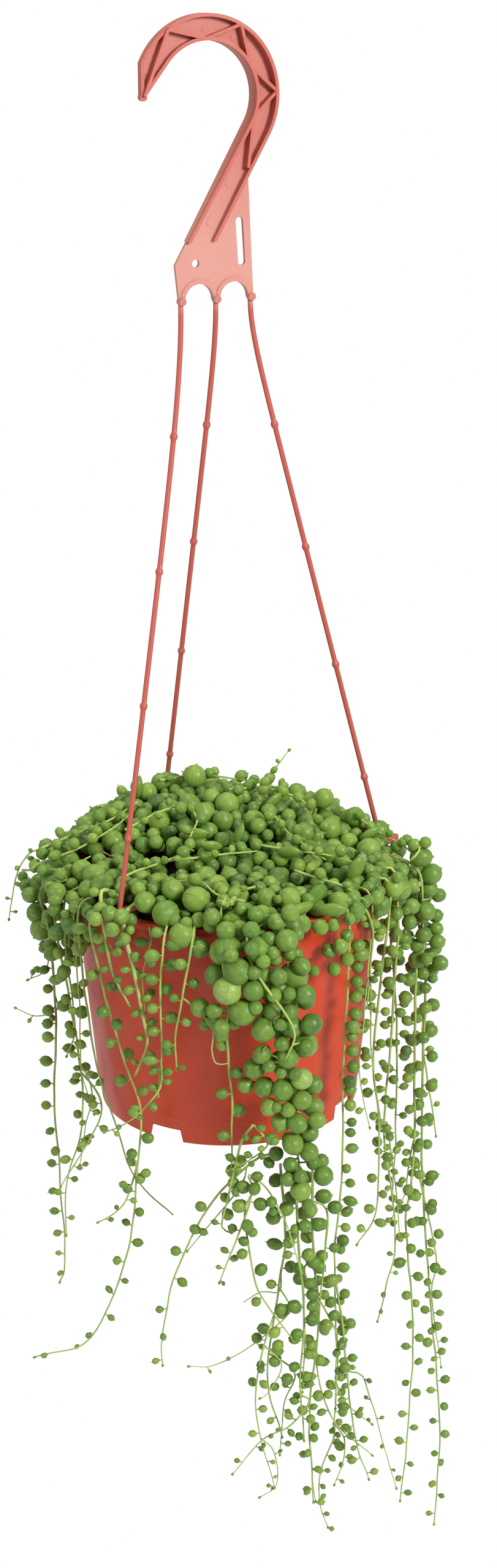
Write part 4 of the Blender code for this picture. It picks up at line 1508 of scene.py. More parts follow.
@dataclass
class PottingMix:
    """Peaty mix that fills the pot, crumbly on top."""

    plan: Plan
    depth: float = 13.0 * MM
    top: float = 66.7 * MM
    foot: float = 59.7 * MM
    floor: float = 7.0 * MM
    lump: float = 1.8 * MM
    rings: int = 46
    sides: int = 150
    roughness: tuple[Pair, ...] = ((1.0, 160), (0.5, 420), (0.3, 900))
    crumbs: int = 420
    seed: int = 5

    def build(self) -> None:
        """Make the mix with its crumbs."""
        bm = bmesh.new()
        level = self.plan.rim - self.depth
        rings = []
        for i in range(1, self.rings + 1):
            share = i / self.rings
            ring = []
            for k in range(self.sides):
                turn = 2 * pi * k / self.sides
                spot = Vector((self.top * share * cos(turn), self.top * share * sin(turn), 0.0))
                rough = sum(part * noise.noise(spot * scale) for part, scale in self.roughness)
                dome = 2.0 * MM * (1 - share**2)
                spot.z = level - 2.4 * MM + dome + self.lump * rough * min(1.0, (1 - share) * 12)
                ring.append(bm.verts.new(spot))
            rings.append(ring)
        for reach, height in ((self.top, level - 10.0 * MM), (self.foot, self.plan.foot + self.floor)):
            rings.append([
                bm.verts.new((reach * cos(2 * pi * k / self.sides),
                              reach * sin(2 * pi * k / self.sides), height))
                for k in range(self.sides)
            ])
        loft(bm, rings)
        dice = random.Random(self.seed)
        for _ in range(self.crumbs):
            turn, reach = dice.uniform(0, 2 * pi), self.top * sqrt(dice.random()) * 0.96
            size = dice.uniform(0.5, 1.7) * MM
            place = Matrix.Translation((reach * cos(turn), reach * sin(turn), level + 0.2 * size))
            place @= Matrix.Rotation(dice.uniform(0, pi), 4, "X")
            place @= Matrix.Rotation(dice.uniform(0, pi), 4, "Z")
            flat, tall = dice.uniform(0.3, 0.8), dice.uniform(0.4, 1.0)
            place @= Matrix.Diagonal((size, size * flat, size * tall, 1.0))
            made = bmesh.ops.create_icosphere(bm, subdivisions=1, radius=1.0, matrix=place)
            for vert in made["verts"]:
                vert.co += noise.noise_vector(vert.co * 700) * size * 0.3
        mesh = tidy_mesh("peaty_mix", bm)
        mix = linked("peaty_mix", mesh)
        mesh.materials.append(Finish.MIX.material())
        dress(mix, "potting_mix")


# The plant.

# Pearls: x, y, z and radius in millimetres.
CROWN_PEARLS = (
    (-15, 58, 23, 5.3), (-10, 6, 23, 5.6), (1, 17, 24, 5.6), (-54, -43, 9, 5.1), (-23, -58, 12, 5.0),
    (-35, -64, 9, 4.7), (-26, -70, 6, 6.0), (-13, -67, 11, 6.0), (-19, -77, -1, 5.8), (40, 41, 16, 4.3),
    (48, 12, 13, 5.1), (58, 30, 11, 4.9), (65, 0, 7, 5.6), (48, -14, 10, 5.2), (36, 2, 15, 5.0),
    (78, -19, -5, 5.2), (27, -65, 10, 5.0), (15, -73, 6, 4.4), (32, -72, 1, 4.2), (40, -71, -1, 3.7),
    (-27, 60, 21, 4.4), (-24, 50, 23, 4.9), (-6, 22, 26, 4.0), (6, 26, 25, 4.8), (9, 25, 25, 3.4),
    (-1, 0, 22, 4.7), (-30, 4, 21, 5.0), (-57, 22, 18, 2.8), (-49, 25, 20, 3.7), (-31, -15, 18, 3.3),
    (-23, -18, 18, 3.6), (-31, -31, 14, 3.2), (-55, -27, 11, 3.3), (-64, -25, 9, 4.9), (-58, -32, 9, 5.4),
    (-38, -56, 12, 3.4), (-7, -77, 3, 3.4), (-12, -75, 5, 3.4), (-9, -68, 13, 2.4), (-1, -70, 11, 3.7),
    (7, -23, 16, 3.3), (15, -2, 20, 3.9), (15, -27, 14, 3.5), (24, -25, 13, 3.8), (32, -29, 11, 3.5),
    (25, -5, 18, 2.5), (19, -51, 12, 3.2), (38, -30, 11, 2.7), (52, -19, 9, 3.6), (20, 14, 21, 3.9),
    (29, 14, 19, 3.4), (22, -68, 11, 2.1), (-2, -84, -6, 6.0), (13, -88, -4, 6.0), (49, -66, -12, 3.7),
    (46, -68, -22, 3.2), (37, -74, -20, 2.6), (44, -64, -15, 3.5), (52, -62, -20, 3.2),
    (26, -80, -2, 2.1), (27, -82, -9, 2.4), (46, -62, -4, 3.2), (65, -38, -14, 3.3), (59, -44, -6, 2.7),
    (-50, -69, 6, 3.6), (-54, -64, 6, 3.4), (-45, -70, 5, 3.8), (-56, -70, 4, 3.2), (-49, -75, 1, 3.4),
    (-44, -73, -4, 3.1), (-57, -62, 2, 3.6), (-14, 40, 30, 5.2), (-30, 46, 25, 4.6), (-36, 36, 24, 4.4),
    (46, 34, 20, 4.8), (60, 22, 15, 4.6), (34, 48, 18, 4.7), (71, 22, 8, 5.0), (26, 40, 20, 4.5),
)
LEFT_PEARLS = (
    (-89, -6, -10, 3.9), (-86, -8, -18, 5.0), (-84, -10, -25, 5.6), (-91, 0, -8, 3.4), (-85, -4, -5, 4.2),
    (-78, -16, 0, 3.6), (-77, -20, -7, 3.3), (-75, -22, -13, 3.3), (-77, -22, -21, 3.0),
    (-82, -14, -8, 3.1), (-80, -18, -17, 3.6), (-68, -42, -9, 5.4), (-65, -48, -9, 3.5),
    (-60, -52, 0, 3.2), (-71, -30, -23, 3.3), (-59, -56, -9, 3.5), (-65, -48, -19, 3.5),
    (-78, -20, -3, 2.8), (-76, -10, 5, 3.0), (-93, 4, -5, 2.5), (-66, -46, 0, 3.2), (-77, -24, -29, 2.5),
    (-71, -36, -26, 2.5), (-90, 8, -14, 4.2), (-84, 16, -6, 4.0),
)
RIGHT_PEARLS = (
    (89, 0, 3, 4.8), (94, 2, -6, 4.8), (84, -10, -17, 3.9), (91, -6, -21, 4.5), (83, -12, -24, 3.6),
    (90, -8, -32, 3.7), (97, 0, -39, 3.7), (85, 0, -11, 3.7), (98, 8, -19, 3.4), (93, 4, -14, 4.2),
    (97, 10, -30, 3.4), (90, 2, -27, 3.7), (97, 6, -35, 3.4), (79, -4, -19, 3.4), (81, -8, -34, 3.7),
    (77, -12, -30, 3.4), (74, -18, -22, 3.4), (95, 2, -54, 3.1), (94, 6, -48, 3.4), (90, -4, -53, 3.1),
    (91, -10, -43, 3.1), (87, -6, -38, 3.4), (78, -10, -40, 2.8), (83, 0, -36, 3.4), (86, 14, -12, 4.4),
    (92, 18, -24, 4.0), (86, 18, -36, 3.8), (90, 22, -10, 3.8), (84, 10, -25, 3.8), (96, 14, -42, 3.4),
)
FRONT_PEARLS = (
    (0, -88, -3, 6.2), (4, -94, -11, 5.9), (0, -97, -20, 6.2), (6, -94, -30, 6.0), (-12, -86, -31, 4.2),
    (-7, -86, -37, 3.4), (-3, -88, -43, 3.2), (13, -86, -20, 5.0), (-5, -86, -16, 5.0),
    (-6, -92, -30, 3.6), (-10, -86, -39, 2.6), (2, -86, -38, 3.4),
)
FALL_PEARLS = (
    (28, -84, -18, 6.3), (31, -87, -12, 4.4), (22, -86, -23, 4.7), (19, -92, -30, 4.8),
    (27, -84, -29, 4.2), (33, -84, -29, 4.4), (15, -98, -38, 5.7), (27, -92, -38, 5.0),
    (32, -90, -47, 6.0), (25, -97, -51, 5.0), (33, -99, -45, 3.4), (14, -98, -49, 4.2),
    (17, -103, -54, 2.9), (22, -104, -57, 2.6), (11, -92, -57, 4.8), (28, -98, -58, 3.0),
    (7, -88, -67, 3.7), (31, -95, -61, 4.7), (36, -87, -68, 4.4), (23, -102, -66, 5.0),
    (31, -98, -71, 4.4), (15, -92, -66, 4.6), (17, -95, -74, 4.0), (20, -103, -73, 2.4),
    (25, -100, -75, 3.5), (36, -88, -78, 4.8), (29, -97, -82, 4.6), (22, -92, -83, 4.4),
    (34, -88, -90, 4.6), (27, -97, -92, 4.8), (34, -93, -97, 4.3), (36, -90, -104, 3.2),
    (26, -93, -103, 3.4), (22, -84, -42, 5.4), (22, -84, -58, 5.0), (30, -82, -74, 4.6),
    (29, -85, -98, 4.4),
)

# Pointed young leaves: x, y, z, half-width, and the way that each points.
CROWN_LEAVES = (
    (38, -61, 9, 4.0, (0.45, -0.2, 0.9)), (45, -69, 6, 4.0, (0.95, -0.2, 0.1)),
    (31, -68, 6, 4.2, (-0.8, -0.5, -0.1)), (57, -39, 13, 4.0, (0.35, -0.1, 0.9)),
    (-14, -14, 21, 4.0, (0.95, -0.2, 0.15)), (28, -30, 18, 3.4, (0.9, -0.3, 0.1)),
    (-40, 34, 27, 3.2, (0.1, 0.0, 1.0)), (6, -14, 21, 3.0, (0.4, 0.1, 0.9)),
    (22, 20, 24, 3.2, (0.7, 0.2, 0.6)), (-6, -24, 19, 3.2, (-0.8, -0.4, 0.3)),
    (66, 8, 12, 3.2, (0.8, 0.0, 0.5)), (-72, -4, 10, 3.0, (-0.7, 0.0, 0.6)),
)

# Stems that wander over the crown.
CROWN_RUNNERS = (
    ((-45, -8, 22), (-30, -2, 27), (-18, 2, 29), (-13, -8, 26), (-16, -20, 22)),
    ((-85, -10, 13), (-70, 0, 16), (-55, 6, 20), (-40, 16, 26)),
    ((-88, -12, 6), (-76, -14, 11), (-62, -8, 15), (-52, 0, 19), (-44, 8, 23)),
    ((-92, -6, 2), (-84, -16, 6), (-72, -24, 10), (-60, -20, 14)),
    ((-46, -50, 14), (-34, -42, 17), (-22, -34, 18), (-14, -26, 20)),
    ((-26, -36, 17), (-8, -34, 18), (8, -30, 18), (14, -26, 17)),
    ((16, -24, 19), (30, -28, 18), (46, -30, 16), (60, -30, 12)),
    ((8, -72, 12), (-4, -68, 14), (-10, -60, 16), (-22, -56, 16)),
    ((2, 22, 30), (20, 26, 28), (34, 20, 25), (40, 8, 20), (44, -6, 16)),
    ((20, 6, 25), (26, -8, 22), (36, -20, 17), (44, -30, 14)),
    ((30, -44, 15), (40, -50, 13), (50, -52, 10), (60, -50, 3)),
    ((12, -60, 14), (2, -66, 13), (-2, -76, 9), (0, -82, 2)),
    ((58, 20, 18), (70, 12, 12), (80, 4, 8), (88, 0, 2)),
    ((84, -6, 4), (88, -4, 8), (86, 4, 9), (80, 10, 8)),
    ((-30, 40, 28), (-10, 48, 28), (12, 46, 25), (30, 44, 21)),
    ((-60, 40, 16), (-50, 52, 14), (-34, 62, 15), (-14, 68, 14)),
    ((20, 60, 18), (38, 56, 14), (56, 48, 8), (70, 36, 2)),
)
UPRIGHT_SHOOT = ((16, 20, 24), (16, 20, 30), (19, 20, 35), (24, 20, 41), (29, 20, 48))


class Hang(Enum):
    """On which side of a stem its pearls sit, as an angle round the stem."""

    LEFT = (180.0, 180.0)
    RIGHT = (0.0, 0.0)
    BOTH = (0.0, 180.0)
    ROUND = (20.0, 160.0)


@dataclass(frozen=True)
class Route:
    """A stem's route in millimetres, and what grows on it.

    Attributes:
        points: The points that it hangs through.
        pearl: Radius of its first pearls; none where it is zero.
        tip: Radius of its last pearls.
        pitch: Distance between pearls.
        girth: Radius of the stem where it starts.
        hang: Where its pearls sit.
        start: The share of its length where its pearls begin.
        cork: How brown it is.
        tone: How pale it is, or less than zero to let the dice choose.
    """

    points: tuple[Point, ...]
    pearl: float = 3.0
    tip: float = 1.6
    pitch: float = 6.0
    girth: float = 0.72
    hang: Hang = Hang.BOTH
    start: float = 0.0
    cork: float = 0.0
    tone: float = -1.0


TRAILS: dict[str, tuple[Route, ...]] = {
    "stem_left_edge": (
        Route(((-83, -22, -2), (-80, -21, -22), (-79, -20, -41), (-79, -18, -72), (-81, -18, -106),
            (-80, -18, -151), (-79, -18, -193), (-82, -18, -204)), 2.9, 1.5, 9.5, hang=Hang.LEFT),
        Route(((-78, -18, -62), (-88, -18, -65), (-97, -18, -61)), 2.0, 1.0, 9.0, 0.45, start=0.3),
        Route(((-85, -10, 13), (-91, -8, 8), (-96, -6, -4), (-99, -6, -22)), 1.6, 0.8, 7.0, 0.5),
        Route(((-79, -16, -18), (-82, -18, -41), (-91, -20, -46)), 2.6, 1.4, 6.0, 0.5),
    ),
    "stem_left_loop": (
        Route(((-72, -38, -3), (-70, -37, -46), (-69, -36, -64), (-73, -36, -77)), 3.0, 2.6, 6.0),
    ),
    "stem_left_long": (
        Route(((-65, -50, -3), (-61, -50, -60), (-55, -48, -92), (-44, -44, -133), (-27, -40, -156)),
            0.0, girth=0.7, cork=0.25),
        Route(((-67, -46, -3), (-66, -46, -40), (-66, -44, -78), (-62, -40, -104)), 2.4, 1.6, 11.0, 0.5),
    ),
    "stem_left_inner": (
        Route(((-77, -29, -3), (-70, -28, -65), (-67, -28, -98), (-69, -30, -120), (-76, -32, -145),
            (-77, -34, -170)), 3.2, 1.5, 8.0),
        Route(((-58, -44, -96), (-64, -40, -116), (-78, -38, -142)), 2.3, 1.2, 10.0, 0.6),
        Route(((-62, -42, -91), (-66, -38, -111), (-69, -34, -133)), 1.8, 1.2, 8.0, 0.45),
    ),
    "stem_left_sweep": (
        Route(((-59, -60, -3), (-50, -62, -52), (-40, -62, -89), (-42, -60, -125), (-48, -56, -168),
            (-66, -52, -213), (-93, -46, -227)), 3.1, 1.3, 9.5),
        Route(((-43, -58, -126), (-48, -60, -138), (-55, -60, -145), (-61, -58, -150)),
            2.6, 0.9, 5.5, 0.6),
        Route(((-33, -68, -9), (-37, -66, -27), (-36, -66, -44)), 2.6, 2.0, 7.0, 0.5),
    ),
    "stem_front_pale": (
        Route(((-44, -66, 4), (-43, -72, -6), (-40, -74, -20), (-38, -74, -35), (-35, -73, -53),
            (-41, -72, -69)), 2.4, 1.5, 5.5, 1.2, start=0.1, tone=1.0),
        Route(((-54, -58, 12), (-53, -62, 0), (-50, -66, -22), (-43, -71, -36)),
            2.6, 1.7, 6.0, 1.1, tone=1.0),
    ),
    "stem_front_left": (
        Route(((-27, -78, -3), (-29, -77, -28), (-29, -77, -51), (-31, -77, -77)), 3.0, 2.4, 5.6),
        Route(((-30, -79, -72), (-38, -79, -83), (-46, -78, -90), (-55, -76, -95)), 2.2, 1.0, 5.5, 0.6),
    ),
    "stem_front_loop": (
        Route(((-15, -82, -3), (-20, -83, -30), (-23, -84, -45), (-23, -84, -61)), 2.8, 1.8, 8.5),
        Route(((-7, -88, -38), (-7, -89, -50), (-5, -89, -56), (0, -89, -56)), 0.0, girth=0.55),
    ),
    "stem_front_mid": (
        Route(((-1, -86, -44), (0, -86, -55), (1, -86, -76), (0, -86, -112)), 2.9, 3.2, 9.0),
    ),
    "stem_front_thin": (
        Route(((10, -92, -84), (4, -91, -95), (-2, -90, -123), (-4, -90, -135), (0, -90, -138)),
            2.0, 1.2, 12.0, 0.75),
        Route(((16, -94, -92), (8, -94, -100), (-2, -93, -105)), 2.2, 1.3, 3.6, 0.5),
    ),
    "stem_fall_left": (
        Route(((18, -84, -102), (10, -82, -107), (-7, -82, -125), (-24, -80, -160), (-32, -78, -198),
            (-32, -78, -212)), 2.8, 1.6, 11.5, 0.62),
        Route(((5, -84, -116), (-7, -82, -135), (-20, -80, -152)), 2.6, 2.2, 13.0, 0.45),
    ),
    "stem_fall_mid": (
        Route(((10, -92, -114), (6, -93, -129), (-6, -93, -161)), 3.2, 1.0, 5.0, 0.6),
        Route(((6, -92, -128), (10, -92, -160), (16, -90, -176), (27, -88, -195)), 2.9, 2.4, 10.0, 0.6),
        Route(((8, -92, -108), (16, -91, -116), (23, -90, -131), (30, -90, -156)), 2.6, 2.4, 9.0, 0.55),
    ),
    "stem_tangle_left": (
        Route(((22, -76, -112), (24, -75, -147), (20, -73, -182), (15, -72, -222), (22, -72, -256)),
            3.2, 2.0, 10.0),
        Route(((25, -80, -185), (8, -82, -200), (-9, -84, -209), (-20, -86, -208)),
            1.5, 0.9, 10.6, 0.42, start=0.45),
        Route(((21, -78, -175), (13, -80, -174), (5, -82, -178)), 0.0, girth=0.45, cork=0.5),
        Route(((28, -74, -220), (23, -74, -236), (21, -74, -264)), 2.0, 1.2, 9.4, 0.5),
    ),
    "stem_tangle_mid": (
        Route(((29, -87, -110), (29, -86, -142), (32, -84, -181), (30, -83, -220), (32, -82, -251)),
            3.3, 2.2, 7.7, hang=Hang.ROUND),
        Route(((34, -78, -233), (25, -78, -246), (12, -78, -253), (-1, -78, -271)), 2.1, 1.1, 8.8, 0.5),
        Route(((32, -84, -178), (32, -82, -205), (31, -80, -226)), 2.8, 2.2, 8.3, 0.55),
        Route(((42, -80, -132), (41, -80, -160), (38, -79, -200), (34, -78, -236)), 3.1, 2.3, 8.8, 0.6),
    ),
    "stem_tangle_right": (
        Route(((37, -72, -112), (36, -70, -150), (39, -67, -196), (35, -64, -247), (37, -62, -299)),
            3.3, 1.8, 8.8),
        Route(((33, -66, -173), (45, -66, -198), (48, -66, -212), (47, -66, -245)), 2.9, 2.4, 8.3, 0.6),
        Route(((37, -62, -216), (45, -62, -251), (64, -62, -273)), 2.3, 1.4, 9.4, 0.5),
        Route(((35, -62, -264), (36, -62, -281), (38, -60, -300)), 2.0, 1.6, 10.6, 0.45),
    ),
    "stem_tangle_tip": (
        Route(((20, -74, -184), (13, -86, -203), (10, -86, -235), (18, -84, -275)), 2.4, 1.2, 11.8, 0.5),
        Route(((18, -84, -255), (19, -84, -273), (11, -84, -280)), 1.3, 0.8, 9.4, 0.38),
        Route(((22, -86, -208), (16, -86, -222), (12, -88, -224)), 3.0, 2.4, 9.4, 0.45),
    ),
    "stem_right_front": (
        Route(((53, -60, -3), (51, -58, -61), (50, -56, -132), (47, -54, -168), (48, -53, -228),
            (47, -52, -273)), 3.1, 2.2, 7.2, hang=Hang.RIGHT),
        Route(((50, -54, -246), (55, -54, -253), (65, -52, -263)), 1.8, 1.0, 8.0, 0.45),
        Route(((47, -52, -270), (41, -52, -286), (40, -52, -305), (44, -52, -321)),
            1.8, 1.2, 7.0, 0.5, hang=Hang.RIGHT),
        Route(((52, -52, -270), (51, -52, -283), (47, -50, -298)), 2.0, 1.0, 7.0, 0.45),
    ),
    "stem_right_tip": (
        Route(((47, -56, -182), (50, -65, -200), (53, -66, -231), (57, -64, -267), (63, -62, -287)),
            2.7, 1.6, 7.0, 0.6),
        Route(((53, -58, -230), (60, -58, -233), (65, -58, -251), (76, -58, -295)), 1.5, 0.9, 12.0, 0.45),
    ),
    "stem_right_bow": (
        Route(((64, -44, -3), (60, -41, -64), (59, -40, -88), (64, -40, -113)), 2.2, 1.5, 8.0, 0.55),
        Route(((50, -42, 3), (59, -48, 0), (64, -46, -12), (64, -42, -28), (62, -42, -52)),
            2.5, 2.0, 9.0, 0.85),
        Route(((64, -38, -41), (64, -38, -71), (69, -38, -111)), 2.0, 1.4, 9.0, 0.5),
    ),
    "stem_right_beaded": (
        Route(((73, -32, -3), (66, -30, -75), (69, -30, -125), (67, -30, -164), (59, -30, -180)),
            3.0, 2.0, 7.2),
    ),
    "stem_right_thin": (
        Route(((77, -19, -3), (75, -17, -78), (72, -15, -123), (78, -13, -183), (74, -11, -214),
            (70, -10, -234)), 2.7, 1.2, 8.0),
        Route(((75, -10, -132), (80, -8, -179), (80, -8, -189)), 2.4, 1.6, 7.0, 0.5),
    ),
    "stem_right_back": (
        Route(((76, 14, -30), (80, 16, -94), (80, 18, -140), (79, 20, -181)), 2.9, 1.8, 7.0),
    ),
    "stem_right_long": (
        Route(((87, -6, -50), (87, -4, -94), (87, -2, -153), (84, -1, -187), (88, -1, -245),
            (87, 0, -290), (83, 0, -344)), 3.1, 1.7, 7.4),
        Route(((86, 0, -147), (83, 0, -170), (77, 0, -183)), 2.4, 1.6, 7.0, 0.5),
    ),
    "stem_right_outer": (
        Route(((93, 9, -52), (92, 9, -100), (92, 8, -157), (96, 8, -217), (101, 8, -277), (103, 8, -312),
            (101, 8, -364)), 3.1, 1.7, 7.4),
        Route(((91, 8, -166), (100, 8, -209), (98, 8, -230), (103, 8, -272)), 2.6, 1.6, 8.5, 0.55),
    ),
    "stem_right_curl": (
        Route(((94, 24, -50), (94, 28, -106), (101, 30, -155)), 2.6, 1.5, 7.0),
    ),
    "stem_back_right": (Route(((58, 57, -3), (57, 58, -50), (54, 59, -98)), 3.0, 1.8, 6.0),),
    "stem_back": (Route(((14, 81, -3), (12, 82, -45), (15, 83, -86)), 3.0, 1.8, 6.0),),
    "stem_back_left": (Route(((-55, 60, -3), (-54, 61, -55), (-50, 62, -104)), 3.0, 1.8, 6.0),),
}


STEM_PITCH = 2.4 * MM


def taper(line: list[Vector], start: float, drop: float) -> list[float]:
    """Radii in metres that shrink evenly along a line, from millimetres."""
    last = len(line) - 1
    return [(start - drop * i / last) * MM for i in range(last + 1)]


def held(dice: Dice, mean: float, spread: float, low: float, high: float) -> float:
    """A draw from a bell curve, held between two limits."""
    return min(high, max(low, dice.gauss(mean, spread)))


def smooth_line(points: list[Vector], pitch: float = STEM_PITCH) -> list[Vector]:
    """A smooth curve through points.

    Args:
        points: The points.
        pitch: The distance between the curve's own points, in metres.

    Returns:
        The curve's points.
    """
    ends = [points[0] * 2 - points[1], *points, points[-1] * 2 - points[-2]]
    found = []
    for a, b, c, d in zip(ends, ends[1:], ends[2:], ends[3:]):
        count = max(2, round((c - b).length / pitch))
        for i in range(count):
            t = i / count
            found.append(0.5 * (2 * b + (c - a) * t + (2 * a - 5 * b + 4 * c - d) * t**2
                                + (3 * b - a - 3 * c + d) * t**3))
    return found + [points[-1]]


@dataclass
class Wall:
    """The pot's outside, which pearls and stems keep clear of."""

    plan: Plan
    top: float = 75.0 * MM
    foot: float = 61.5 * MM

    def radius(self, height: float) -> float:
        """The radius to keep clear of.

        Args:
            height: A height in the frame.

        Returns:
            The radius, or zero above the rim and below the foot.
        """
        below = self.plan.rim - height
        if below < -2 * MM or height < self.plan.foot - 2 * MM:
            return 0.0
        if below < 5 * MM:
            return self.top
        if below < 21 * MM:
            return 72.5 * MM
        share = (below - 21 * MM) / (self.plan.rim - self.plan.foot - 21 * MM)
        return 68.6 * MM + (self.foot - 68.6 * MM) * min(share, 1.0)

    def clear(self, place: Vector, radius: float) -> Vector:
        """Move a place out until something there clears the wall.

        Args:
            place: The place.
            radius: The thing's radius.

        Returns:
            The place, moved where it has to be.
        """
        reach = hypot(place.x, place.y)
        least = self.radius(place.z) + radius
        if reach >= least or reach < 1e-6 or self.radius(place.z) == 0.0:
            return place
        return Vector((place.x * least / reach, place.y * least / reach, place.z))


@dataclass
class Trail:
    """A trailing stem with its side shoots and pearls."""

    plan: Plan
    node: str
    routes: tuple[Route, ...]
    seed: int
    wobble: float = 0.75 * MM
    slender: float = 0.9

    def _grow(self, growth: Growth, route: Route, dice: Dice,
              parent: list[Vector]) -> list[Vector]:
        """Add one route's stem and its pearls.

        Args:
            growth: What the piece is gathered in.
            route: The route.
            dice: The piece's own dice.
            parent: The stem that it grows from, or nothing.

        Returns:
            The stem's points.
        """
        wall = Wall(self.plan)
        points = list(route.points)
        x, y, z = points[0]
        if z > -13.0 and hypot(x, y) > 66.0:
            points.insert(0, (0.88 * x, 0.88 * y, min(z + 8.0, 7.0)))
            parent = []
        places = self.plan.places(points)
        if parent:
            above = places[0] + Vector((0.0, 0.0, 9 * MM))
            places.insert(0, min(parent, key=lambda p: (p - above).length))
        line = smooth_line(places)
        line = [p + noise.noise_vector(p * 55) * self.wobble for p in line]
        line = [self.plan.keep(wall.clear(p, 1.0 * MM), 1.0 * MM) for p in line]
        last = len(line) - 1
        radii = [route.girth * self.slender * MM * (1.0 - 0.5 * i / last) for i in range(len(line))]
        tone = dice.uniform(0.1, 0.8) if route.tone < 0.0 else route.tone
        growth.stem(line, radii, 6, tone, route.cork)
        if route.pearl <= 0.0:
            return line
        lengths = [(b - a).length for a, b in zip(line, line[1:])]
        total = sum(lengths)
        along = route.start * total + dice.uniform(0.2, 0.8) * route.pitch * MM
        turn_index = dice.randrange(2)
        while along < total:
            share = along / total
            middling = route.pearl + (route.tip - route.pearl) * share**1.2
            radius = middling * MM * dice.uniform(0.78, 1.12)
            degrees = route.hang.value[turn_index % 2]
            self._hang(growth, line, lengths, along, radius, degrees, share, dice, wall)
            turn_index += 1
            along += route.pitch * MM * dice.uniform(0.72, 1.28) * (0.9 + 0.35 * share)
        growth.pearl(line[-1], line[-1] - line[-2], 0.7 * MM, Form.LEMON, 0.8, dice)
        return line

    def _hang(self, growth: Growth, line: list[Vector], lengths: list[float], along: float, radius: float,
              degrees: float, share: float, dice: Dice, wall: Wall) -> None:
        """Add one pearl with its stalk.

        Args:
            growth: What the piece is gathered in.
            line: The stem's points.
            lengths: The lengths between them.
            along: How far along the stem the stalk starts.
            radius: The pearl's radius.
            degrees: The angle round the stem.
            share: How far along the stem it is, from 0 to 1.
            dice: The piece's own dice.
            wall: The wall that it keeps clear of.
        """
        left = along
        index = 0
        while index < len(lengths) - 1 and left > lengths[index]:
            left -= lengths[index]
            index += 1
        here = line[index].lerp(line[index + 1], min(1.0, left / lengths[index]))
        down = (line[index + 1] - line[index]).normalized()
        turn = radians(degrees + dice.gauss(0.0, 34.0))
        out = Vector((cos(turn), sin(turn) - 0.25, dice.uniform(-0.35, 0.5)))
        out = (out - down * out.dot(down) * 0.8).normalized()
        slim = radius < 2.0 * MM
        form = Form.LEMON if slim or dice.random() < 0.12 else dice.choice((Form.ROUND, Form.PLUMP))
        stalk = dice.uniform(0.5, 1.5) * MM
        centre = wall.clear(here + out * (radius * form.value[0] + stalk + 0.3 * MM), radius)
        centre = self.plan.keep(centre, radius * form.value[0])
        axis = (centre - here).normalized()
        axis = (axis + Vector((0, 0, dice.uniform(-0.25, 0.35)))).normalized()
        base = centre - axis * radius * form.value[0] * 0.93
        middle = here.lerp(base, 0.5) + Vector((0.0, 0.0, -0.15 * stalk))
        growth.stem([here, middle, base], [0.36 * MM, 0.28 * MM, 0.36 * MM], 5, 0.55)
        tone = held(dice, 0.50 + 0.2 * share, 0.15, 0.0, 1.0)
        growth.pearl(centre, axis, radius, form, tone, dice, 0.15 * dice.random())

    def build(self) -> None:
        """Make the trail."""
        dice = random.Random(self.seed)
        growth = Growth()
        main = self._grow(growth, self.routes[0], dice, [])
        for route in self.routes[1:]:
            self._grow(growth, route, dice, main)
        trail = growth.piece(self.node.replace("stem_", "trail_"))
        dress(trail, self.node)


class Crowd:
    """Pearls already placed, sorted into cells so that neighbours are found fast."""

    def __init__(self, cell: float) -> None:
        """Start empty, with cells of a size in metres."""
        self.cell = cell
        self.cells: dict[tuple[int, int, int], list[tuple[Vector, float]]] = {}

    def _key(self, place: Vector) -> tuple[int, int, int]:
        """The cell that a place is in."""
        return tuple(int(value // self.cell) for value in place)

    def add(self, place: Vector, radius: float) -> None:
        """Note a pearl."""
        self.cells.setdefault(self._key(place), []).append((place, radius))

    def room(self, place: Vector, radius: float, squeeze: float) -> bool:
        """Whether a pearl fits, if pearls may press into each other a little.

        Args:
            place: Its middle.
            radius: Its radius.
            squeeze: The share of the two radii that must stay between them.

        Returns:
            Whether it fits.
        """
        a, b, c = self._key(place)
        for i in (a - 1, a, a + 1):
            for j in (b - 1, b, b + 1):
                for k in (c - 1, c, c + 1):
                    for other, size in self.cells.get((i, j, k), ()):
                        if (other - place).length < (radius + size) * squeeze:
                            return False
        return True


